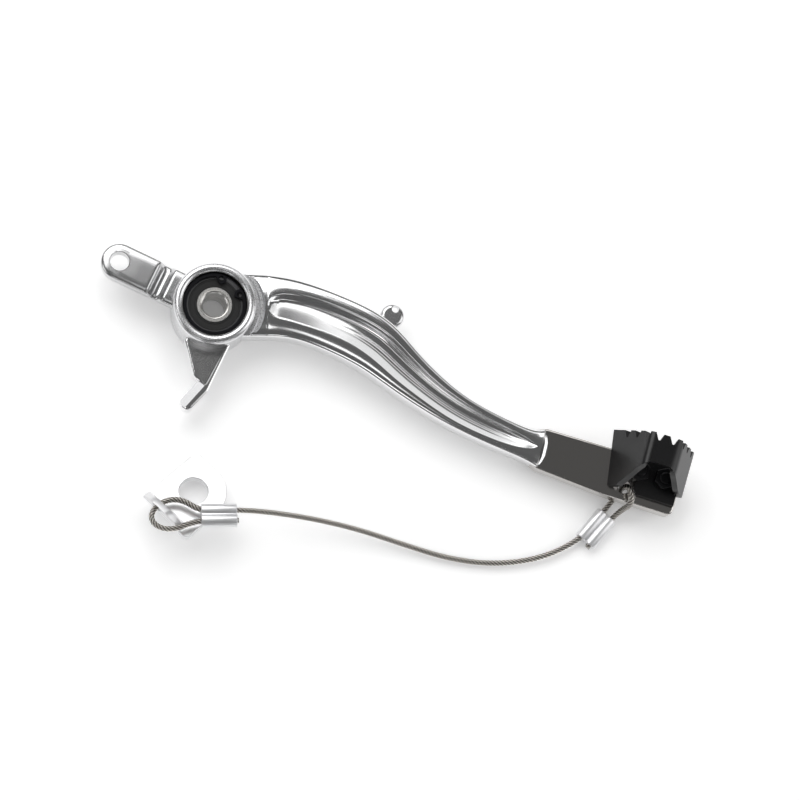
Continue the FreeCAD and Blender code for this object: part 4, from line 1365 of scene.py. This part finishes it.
@dataclass
class Bearing:
    """One sealed ball bearing."""

    side: str
    z: float
    bore_r: float = 5.0
    outer_r: float = 13.0
    half_width: float = 4.0
    chamfer: float = 0.45
    inner_land: float = 7.4
    outer_land: float = 10.6
    recess_r: float = 10.95
    recess_z: float = 3.05
    groove_r: float = 2.401
    ball_count: int = 7
    pitch_r: float = 9.0
    ball_r: float = 2.381
    seal_inner: float = 7.46
    seal_outer: float = 10.93
    seal_face: float = 3.85
    seal_back: float = 3.07
    seal_dish: float = 0.22
    steps: int = 96

    def inner_profile(self) -> list[Point2]:
        """Draws the inner ring, with a turned line in its outboard face.

        Returns:
            (radius, height) of each point.
        """
        bore, half, c, land = self.bore_r, self.half_width, self.chamfer, self.inner_land
        reach = math.sqrt(self.groove_r ** 2 - (self.pitch_r - land) ** 2)
        start = math.degrees(math.atan2(-reach, land - self.pitch_r)) % 360
        return ([(bore, 3.3), (bore, c - half), *arc_points(bore + c, c - half, c, 180, 270, 4),
                 (land - 0.2, -half), (land, 0.2 - half)]
                + arc_points(self.pitch_r, 0, self.groove_r, start, 360 - start, 12)
                + [(land, 3.85), (7.25, half), (6.15, half), (6.05, 3.85), (5.95, 3.7), (5.8, 3.9),
                   (5.55, 3.82)])

    def outer_profile(self) -> list[Point2]:
        """Draws the outer ring with the two recesses that hold the seals.

        Returns:
            (radius, height) of each point.
        """
        half, c, land, recess, seat = (self.half_width, self.chamfer, self.outer_land, self.recess_r,
                                       self.recess_z)
        corner = self.outer_r - c
        reach = math.sqrt(self.groove_r ** 2 - (self.pitch_r - self.inner_land) ** 2)
        end = math.degrees(math.atan2(reach, land - self.pitch_r))
        return ([(land, -seat), (recess, -seat), (recess, -half), (corner, -half)]
                + arc_points(corner, c - half, c, 270, 360, 4) + arc_points(corner, half - c, c, 0, 90, 4)
                + [(recess, half), (recess, seat), (land, seat)]
                + arc_points(self.pitch_r, 0, self.groove_r, end, -end, 12))

    def seal_profile(self, side: int) -> list[Point2]:
        """Draws a dished seal with a raised lip at each rim.

        Args:
            side: 1 for the outer seal, -1 for the inner one.

        Returns:
            (radius, height) of each point.
        """
        face, back = self.seal_face * side, self.seal_back * side
        dish = face - self.seal_dish * side
        first, last = self.seal_inner, self.seal_outer
        return [(first, back), (last, back), (last, face - 0.1 * side), (10.8, face), (10.25, face),
                (10.0, dish), (8.3, dish), (8.1, face), (7.6, face), (first, face - 0.15 * side)]

    def turned(self, part: str, profile: Sequence[Point2], finish: Finish, body: str,
               slot: MaterialSlot) -> Item:
        """Turns one ring or seal.

        Args:
            part: Its name without the side.
            profile: (radius, height) of each point.
            finish: Its finish.
            body: The body that it rides on.
            slot: Its material slot.

        Returns:
            The dressed piece.
        """
        node = f"{self.side}_{part}"
        name = f"{node}_dressed"
        item = place_object(name, spun(profile, self.steps, name, self.z), finish)
        shade(item, TURNED_EDGE)
        return finish_piece(item, body, slot, node)

    def balls(self) -> Item:
        """Makes the ball set.

        Returns:
            All balls as one dressed piece on their own body.
        """
        grid = bmesh.new()
        for k in range(self.ball_count):
            spot = Matrix.Translation((*polar(self.pitch_r, 360.0 * k / self.ball_count), self.z))
            bmesh.ops.create_icosphere(grid, subdivisions=4, radius=self.ball_r, matrix=spot)
        item = place_object(f"{self.side}_balls_dressed", mesh_from(grid, "balls"), BALL_STEEL)
        shade(item, ROUND_EDGE)
        return finish_piece(item, f"{self.side}_ball_set", MaterialSlot.BEARING_STEEL, f"{self.side}_balls")

    def build(self) -> list[Item]:
        """Dresses the bearing.

        Returns:
            Its rings, its seals and its balls.
        """
        steel, rubber = MaterialSlot.BEARING_STEEL, MaterialSlot.SEAL_RUBBER
        return [self.turned("inner_ring", self.inner_profile(), RING_STEEL, SLEEVE, steel),
                self.turned("outer_ring", self.outer_profile(), RACE_STEEL, BODY, steel),
                self.turned("outer_seal", self.seal_profile(1), RUBBER, BODY, rubber),
                self.turned("inner_seal", self.seal_profile(-1), RUBBER, BODY, rubber),
                self.balls()]


@dataclass
class RetainingRing:
    """The open spring ring in the hub's groove, with an eyed lug at each end."""

    z: float = 8.05
    thick: float = 1.2
    outer_r: float = 13.55
    wall: float = 1.9
    lug_r: float = 2.3
    lug_at: float = 11.2
    eye_r: float = 1.0
    eye_mouth: float = 0.12
    rims: Point2 = (0.12, 0.1)
    angles: Point2 = (21.0, 75.0)
    outer_margin: float = 8.0
    inner_margin: float = 12.0
    lug_sweep: float = 182.0
    lug_lead: float = 170.0

    def outline(self) -> list[Point2]:
        """Draws the ring in plan.

        Returns:
            Its points, anticlockwise.
        """
        first, last = self.angles
        outer, inner, sweep = self.outer_margin, self.inner_margin, self.lug_sweep
        first_lug, last_lug = (polar(self.lug_at, angle) for angle in self.angles)
        lead = last + self.lug_lead
        return (arc_points(0, 0, self.outer_r, last + outer, first - outer + 360, 120)
                + arc_points(*first_lug, self.lug_r, first, first + sweep, 13)
                + arc_points(0, 0, self.outer_r - self.wall, first - inner, last + inner - 360, 110)
                + arc_points(*last_lug, self.lug_r, lead, lead + sweep, 13))

    def build(self) -> Item:
        """Makes the ring and its two eyes.

        Returns:
            The dressed ring.
        """
        span = (self.z, self.z + self.thick)
        mesh = mesh_from(plain_slab(self.outline(), *span, *self.rims, 2), "ring")
        item = place_object("retaining_ring_dressed", mesh, SPRING)
        cut(item, [drill(*polar(self.lug_at, a), self.eye_r, *span, self.eye_mouth, 28) for a in self.angles])
        shade(item, TURNED_EDGE)
        return finish_piece(item, BODY, MaterialSlot.SPRING_STEEL, "retaining_ring")


# Cable, ferrules and bracket

CABLE_ROUTE: tuple[Point3, ...] = (
    (157.1, -100.3, -9.25), (162.8, -94.1, -9.15), (168.8, -87.4, -9.25), (172.3, -84.6, -4.0),
    (173.4, -84.4, 3.0), (174.3, -80.6, 6.4), (173.1, -76.6, 5.2), (171.9, -75.9, 0.2), (171.8, -76.1, -5.2),
    (170.9, -77.9, -9.1), (165.3, -84.5, -9.25), (159.3, -91.0, -9.15), (153.7, -97.2, -9.25),
    (138.0, -104.6, -9.5), (118.0, -107.2, -9.9), (98.0, -104.6, -9.7), (79.0, -98.6, -8.6),
    (60.0, -92.4, -6.4), (41.5, -88.4, -3.2), (25.5, -86.3, 0.6), (12.5, -85.3, 3.0), (2.4, -85.3, 3.1),
    (-7.0, -85.3, 3.0), (-14.4, -80.2, 1.3), (-21.6, -81.0, 1.6), (-26.8, -85.8, 3.2), (-26.2, -91.2, 4.8),
    (-19.2, -94.0, 5.8), (-8.0, -89.7, 4.4), (0.6, -89.7, 4.5), (9.0, -89.7, 4.4),
)

# First and last route point of the two stretches inside each ferrule
FERRULE_SPANS = {"ferrule_pedal_end": ((0, 2), (10, 12)), "ferrule_bracket_end": ((20, 22), (28, 30))}


@dataclass
class Cable:
    """The clear-coated cable of twisted strands, with an eye at each end."""

    route: Sequence[Point3] = CABLE_ROUTE
    diameter: float = 2.6
    strand_r: float = 0.32
    core_r: float = 0.56
    strands: int = 6
    strand_sides: int = 6
    lay: float = 4.8
    spacing: float = 0.45
    least_steps: int = 6
    coat_steps: int = 12
    coat_sides: int = 6

    def samples(self) -> list[Vector]:
        """Follows the same quadratic curve as the coat's spline.

        Returns:
            Close points along it.
        """
        p = [Vector(q) for q in self.route]
        out: list[Vector] = []
        starts = [p[0]] + [(a + b) / 2 for a, b in zip(p[1:], p[2:-1])] + [p[-1]]
        for a, corner, b in zip(starts, p[1:-1], starts[1:]):
            length = (corner - a).length + (b - corner).length
            steps = max(self.least_steps, int(length / self.spacing))
            for t in (k / steps for k in range(steps)):
                out.append(a * (1 - t) ** 2 + corner * (2 * t * (1 - t)) + b * t * t)
        return out + [p[-1]]

    def coat(self) -> Item:
        """Makes the clear tube.

        Returns:
            One open curve with a round section.
        """
        curve = bpy.data.curves.new("brake_cable_coat", "CURVE")
        curve.dimensions = "3D"
        spline = curve.splines.new("NURBS")
        spline.points.add(len(self.route) - 1)
        for point, place in zip(spline.points, self.route):
            point.co = (*(c * MM for c in place), 1.0)
        spline.order_u = 3
        spline.use_endpoint_u = True
        spline.resolution_u = curve.resolution_u = self.coat_steps
        curve.bevel_depth = self.diameter / 2 * MM
        curve.bevel_resolution = self.coat_sides
        curve.use_fill_caps = True
        curve.materials.append(CLEAR_COAT.build())
        return link_new("brake_cable_coat", curve)

    def core(self) -> tuple[Item, float]:
        """Twists the strands, light and dark ones in turn.

        Returns:
            The strands and the cable's length in millimetres.
        """
        points = self.samples()
        side = Vector((0, 0, 1))
        frames = []
        length = 0.0
        for before, here, after in zip(points[:1] + points, points, points[1:] + points[-1:]):
            ahead = (after - before).normalized()
            side = (side - ahead * side.dot(ahead)).normalized()
            length += (here - before).length
            frames.append((here, side, ahead.cross(side), length))
        grid = bmesh.new()
        turns = [2 * math.pi * (k / self.strand_sides) - 2 * math.pi / 3 for k in range(self.strand_sides)]
        for n in range(self.strands):
            rings = []
            for here, a, b, run in frames:
                angle = 2 * math.pi * (n / self.strands + run / self.lay)
                out = a * math.cos(angle) + b * math.sin(angle)
                across = b * math.cos(angle) - a * math.sin(angle)
                centre = here + out * self.core_r
                rings.append([centre + (out * math.cos(t) + across * math.sin(t)) * self.strand_r
                              for t in turns])
            before = set(grid.faces)
            add_skin(grid, rings)
            for face in set(grid.faces) - before:
                face.material_index = n % 2
        item = place_object("brake_cable_strands", mesh_from(grid, "strands"), STRAND, STRAND_DARK)
        shade(item, ROUND_EDGE)
        return item, length

    def build(self, others: Sequence[Item]) -> list[Item]:
        """Dresses the cable.

        Args:
            others: The pieces that hang on the cable, not used.

        Returns:
            Coat and strands.
        """
        coat = self.coat()
        core, length = self.core()
        finish_piece(coat, BODY, MaterialSlot.STEEL_CABLE, "brake_cable")
        finish_piece(core, BODY, MaterialSlot.STEEL_CABLE)
        LOG.info("cable length %.1f mm", length)
        return [coat, core]


@dataclass
class Ferrule:
    """A crimped sleeve of two joined barrels around two stretches of the cable."""

    name: str
    spans: Sequence[tuple[int, int]]
    radius: float = 2.75
    length: float = 14.8
    pinch: float = 0.92
    rim: float = 0.35
    barrel_steps: int = 28

    def build(self) -> Item:
        """Lays the sleeve along its two stretches of the cable.

        Returns:
            The dressed ferrule.
        """
        lines = [(Vector(CABLE_ROUTE[i]), Vector(CABLE_ROUTE[j])) for i, j in self.spans]
        along = (lines[0][1] - lines[0][0]).normalized()
        feet = [a + along * (lines[0][0] - a).dot(along) for a, _ in lines]
        marks = sorted((p - feet[0]).dot(along) for line in lines for p in line)
        across = feet[1] - feet[0]
        half = across.length / 2
        across.normalize()
        centre = (feet[0] + feet[1]) / 2 + along * (marks[1] + marks[2]) / 2
        place = frame_matrix(across, along.cross(across), along, centre)
        meet = math.degrees(math.acos(min(1.0, half / self.radius * self.pinch)))
        outline = (arc_points(half, 0, self.radius, meet - 180, 180 - meet, self.barrel_steps)
                   + arc_points(-half, 0, self.radius, meet, 360 - meet, self.barrel_steps))
        grid = plain_slab(outline, -self.length / 2, self.length / 2, self.rim, self.rim, 3, place)
        item = place_object(f"{self.name}_dressed", mesh_from(grid, self.name), FERRULE)
        shade(item, CUT_EDGE)
        return finish_piece(item, BODY, MaterialSlot.FERRULE_ALLOY, self.name)


@dataclass
class AnchorBracket:
    """The small tilted plate with its folded tab.

    In its own frame d runs from the fold across the plate and n along the fold, with the hole at the origin.
    """

    spot: Point3 = (-8.8, -76.2, -3.827)
    tilt: float = -18.0
    turn: float = 42.7
    thick: float = 3.0
    fold_d: float = -17.4
    relief_d: float = 4.0
    end_d: float = 13.6
    low_n: float = -13.5
    high_n: float = 12.0
    corner_r: float = 2.0
    round_r: float = 13.0
    hole_r: float = 6.1
    hole_mouth: float = 0.25
    bend_r: float = 1.0
    bend_steps: int = 8
    overlap: float = 0.6
    tab_height: float = 7.2
    tab_lean: float = 1.6
    tab_base: Point2 = (-8.6, 12.0)
    tab_top: Point2 = (-3.0, 6.6)
    tab_round: float = 1.8
    tab_shares: Sequence[float] = (0.15, 0.35, 0.55, 0.7, 0.8, 0.87, 0.93, 0.97, 0.99, 1.0)
    eye: Point2 = (3.9, 3.7)
    eye_r: float = 2.5
    edge_round: float = 0.3

    def plate(self) -> Mesh:
        """Draws and rounds the plate.

        Returns:
            The plate without its hole.
        """
        inner = self.fold_d + self.relief_d
        low_tab = self.tab_base[0]
        corners = [(self.fold_d, self.low_n, self.corner_r), (self.end_d, self.low_n, self.round_r),
                   (self.end_d, self.high_n, self.corner_r), (inner, self.high_n, 0.0), (inner, low_tab, 0.0),
                   (self.fold_d, low_tab, 0.0)]
        return mesh_from(slab(corners, -self.thick, 0.0, self.edge_round, self.edge_round, 12, 3), "plate")

    def tab_rows(self) -> list[tuple[Vector, Vector, float]]:
        """Follows the fold and the tab from the plate upwards.

        Returns:
            (outer point, inner point, share of the way up the straight part) of each row.
        """
        t, bend = self.thick, self.bend_r
        centre = Vector((self.fold_d + t + bend, bend))
        rise_z = self.tab_height - bend
        lean = math.degrees(math.atan2(self.tab_lean, rise_z))
        start = centre.x + self.overlap
        rows = [(Vector((start, -t)), Vector((start, 0.0)), 0.0)]
        for k in range(self.bend_steps + 1):
            out = Vector(polar(1.0, 270 - (90 + lean) * k / self.bend_steps))
            rows.append((centre + out * (t + bend), centre + out * bend, 0.0))
        outer, inner, _ = rows[-1]
        rise = Vector(polar(rise_z / math.cos(math.radians(lean)), 90 + lean))
        return rows + [(outer + rise * share, inner + rise * share, share) for share in self.tab_shares]

    def tab(self) -> Mesh:
        """Bends the tab, which narrows upwards to two rounded corners.

        Returns:
            Fold and tab as one strip.
        """
        radius = self.tab_round
        (low_base, high_base), (low_top, high_top) = self.tab_base, self.tab_top
        rows = self.tab_rows()
        first_share = next(n for n, row in enumerate(rows) if row[2] > 0)
        run = (rows[-1][0] - rows[first_share - 1][0]).length
        rings = []
        for out, inn, share in rows:
            low = low_base + (low_top - low_base) * share
            high = high_base + (high_top - high_base) * share
            from_top = run * (1 - share)
            if from_top < radius and share > 0:
                rounding = radius - math.sqrt(radius ** 2 - (radius - from_top) ** 2)
                low, high = low + rounding, high - rounding
            ring = ((out, low), (out, high), (inn, high), (inn, low))
            rings.append([Vector((p.x, n, p.y)) for p, n in ring])
        grid = bmesh.new()
        add_skin(grid, rings)
        sharp = math.radians(60)
        edges = [e for e in grid.edges if len(e.link_faces) == 2 and e.calc_face_angle(0) > sharp]
        bevel(grid, edges, self.edge_round, 3)
        return mesh_from(grid, "tab")

    def build(self) -> Item:
        """Dresses the bracket and lays it on the table.

        Returns:
            The dressed bracket.
        """
        plate = place_object("bracket_plate", self.plate(), SATIN)
        cut(plate, [drill(0, 0, self.hole_r, -self.thick, 0.0, self.hole_mouth, 80)])
        tab = place_object("bracket_tab", self.tab(), SATIN)
        lie = Matrix.Translation((self.fold_d, *self.eye)) @ Matrix.Rotation(math.pi / 2, 4, "Y")
        cut(tab, [rod(self.eye_r, 7.0, 40, "eye", lie)])
        item = join_parts("anchor_bracket_dressed", [plate, tab], CUT_EDGE)
        item.data.transform(Matrix.Translation(Vector(self.spot) * MM)
                            @ Matrix.Rotation(math.radians(self.tilt), 4, "X")
                            @ Matrix.Rotation(math.radians(self.turn), 4, "Z"))
        return finish_piece(item, BODY, MaterialSlot.SATIN_ALLOY, "anchor_bracket")


# Table, light and camera


@dataclass(frozen=True)
class SoftBox:
    """A rectangular lamp that faces the part.

    Args:
        name: The lamp's name.
        azimuth: Its bearing from the part in degrees, anticlockwise from +X.
        lean: Its angle from straight overhead in degrees.
        distance: Its distance in metres.
        size: Its width and height in metres.
        radiance: The brightness of its face, where 1 is white.
    """

    name: str
    azimuth: float
    lean: float
    distance: float
    size: Point2
    radiance: float

    def build(self, aim: Vector) -> None:
        """Places the lamp.

        Args:
            aim: The point in metres that it faces.
        """
        data = bpy.data.lights.new(self.name, "AREA")
        data.shape = "RECTANGLE"
        data.size, data.size_y = self.size
        data.energy = self.radiance * math.pi * self.size[0] * self.size[1]
        lean = math.radians(self.lean)
        heading = Vector((*polar(math.sin(lean), self.azimuth), math.cos(lean)))
        item = link_new(self.name, data)
        item.location = aim + heading * self.distance
        item.rotation_euler = heading.to_track_quat("Z", "Y").to_euler()


@dataclass
class Studio:
    """The white table, its lamps and the camera."""

    target: Point3 = (77.750, -38.735, 0.0)
    position: Point3 = (-90.75, -244.68, 1170.13)
    lens: float = 129.06
    sensor: float = 36.0
    clip: Point2 = (0.01, 50.0)
    surround: float = 0.10
    floor_half: float = 4000.0
    floor_gap: float = 0.02
    floor_white: float = 0.93
    floor_glow: float = 0.41
    contact_reach: float = 24.0
    contact_glow: float = 0.34
    contact_samples: int = 4
    lamps: Sequence[SoftBox] = (
        SoftBox("back_left_box", 119.0, 43.0, 1.25, (1.15, 1.1), 2.4),
        SoftBox("back_right_box", 55.0, 62.0, 1.25, (0.6, 0.34), 0.8),
        SoftBox("back_box", 78.0, 49.0, 1.25, (0.62, 0.56), 1.3),
        SoftBox("left_box", 188.0, 62.0, 1.25, (0.6, 0.35), 1.8),
        SoftBox("front_left_box", 238.0, 58.0, 1.25, (0.35, 0.25), 1.8),
        SoftBox("front_strip", 285.0, 68.0, 1.25, (0.9, 0.16), 2.0),
        SoftBox("right_box", 350.0, 56.0, 1.25, (0.8, 1.3), 1.4),
        SoftBox("spark", 237.0, 13.0, 1.6, (0.28, 0.28), 1.6),
    )

    def floor_material(self) -> bpy.types.Material:
        """Makes the table's white, which glows a little for the camera, in mirrors and through the clear coat.

        Returns:
            The material; its glow fades where a piece stands close above it.
        """
        material, shader = new_material("table_white", {
            "Base Color": (*[self.floor_white] * 3, 1.0), "Roughness": 0.9, "Specular IOR Level": 0.1,
            "Emission Color": (1.0, 1.0, 1.0, 1.0)})
        tree = material.node_tree
        rays = add_node(tree, "ShaderNodeLightPath")
        seen, output = rays, "Is Camera Ray"
        for kind in ("Is Glossy Ray", "Is Transmission Ray"):
            either = add_node(tree, "ShaderNodeMath", operation="MAXIMUM")
            wire(tree, (seen, output, either, 0), (rays, kind, either, 1))
            seen, output = either, "Value"
        glow = add_node(tree, "ShaderNodeMath", {1: self.floor_glow}, "MULTIPLY")
        contact = add_node(tree, "ShaderNodeAmbientOcclusion", {"Distance": self.contact_reach * MM})
        contact.samples = self.contact_samples
        openness = add_node(tree, "ShaderNodeMapRange", {"To Min": self.contact_glow})
        fade = add_node(tree, "ShaderNodeMath", operation="MULTIPLY")
        wire(tree, (seen, output, glow, 0), (contact, "AO", openness, "Value"), (glow, "Value", fade, 0),
             (openness, "Result", fade, 1), (fade, "Value", shader, "Emission Strength"))
        return material

    def floor(self) -> None:
        """Lays a wide white table under the part."""
        grid = bmesh.new()
        bmesh.ops.create_grid(grid, x_segments=1, y_segments=1, size=self.floor_half)
        bmesh.ops.translate(grid, vec=(0, 0, TABLE_Z - self.floor_gap), verts=grid.verts)
        mesh = mesh_from(grid, "table")
        mesh.materials.append(self.floor_material())
        link_new("table", mesh)

    def world(self) -> None:
        """Sets an even dim surround."""
        world = bpy.data.worlds.new("studio")
        world.use_nodes = True
        world.node_tree.nodes["Background"].inputs["Color"].default_value = (*[self.surround] * 3, 1.0)
        bpy.context.scene.world = world

    def camera(self) -> None:
        """Places the camera at the photograph's angle, with the part's +X to its right."""
        data = bpy.data.cameras.new("photo_camera")
        data.sensor_width = self.sensor
        data.lens = self.lens
        data.clip_start, data.clip_end = self.clip
        item = link_new("photo_camera", data)
        position = Vector(self.position)
        ahead = (Vector(self.target) - position).normalized()
        right = (Vector((1, 0, 0)) - ahead * ahead.x).normalized()
        item.matrix_world = frame_matrix(right, right.cross(ahead), -ahead, position * MM)
        bpy.context.scene.camera = item

    def build(self) -> None:
        """Sets the whole stage."""
        self.floor()
        for lamp in self.lamps:
            lamp.build(Vector(self.target) * MM)
        self.world()
        self.camera()
        bpy.context.scene.view_settings.view_transform = "Standard"


def main() -> None:
    """Builds the dressed part on its stage and reports each piece."""
    logging.basicConfig(level=logging.INFO)
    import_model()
    arm = PedalArm()
    place = arm.bar_place()
    pieces = [arm.build(), FootTip(place).build(), *TipFasteners(place).build(), RetainingRing().build()]
    for side, way in (("outboard", 1), ("inboard", -1)):
        pieces += Bearing(side, way * Bearing.half_width).build()
    on_cable = [Ferrule(name, spans).build() for name, spans in FERRULE_SPANS.items()]
    on_cable.append(AnchorBracket().build())
    pieces += on_cable + Cable().build(on_cable)
    for piece in pieces:
        LOG.info("%s: %s", piece.name, ", ".join(m.name for m in piece.data.materials))
    Studio().build()


if __name__ == "__main__":
    main()
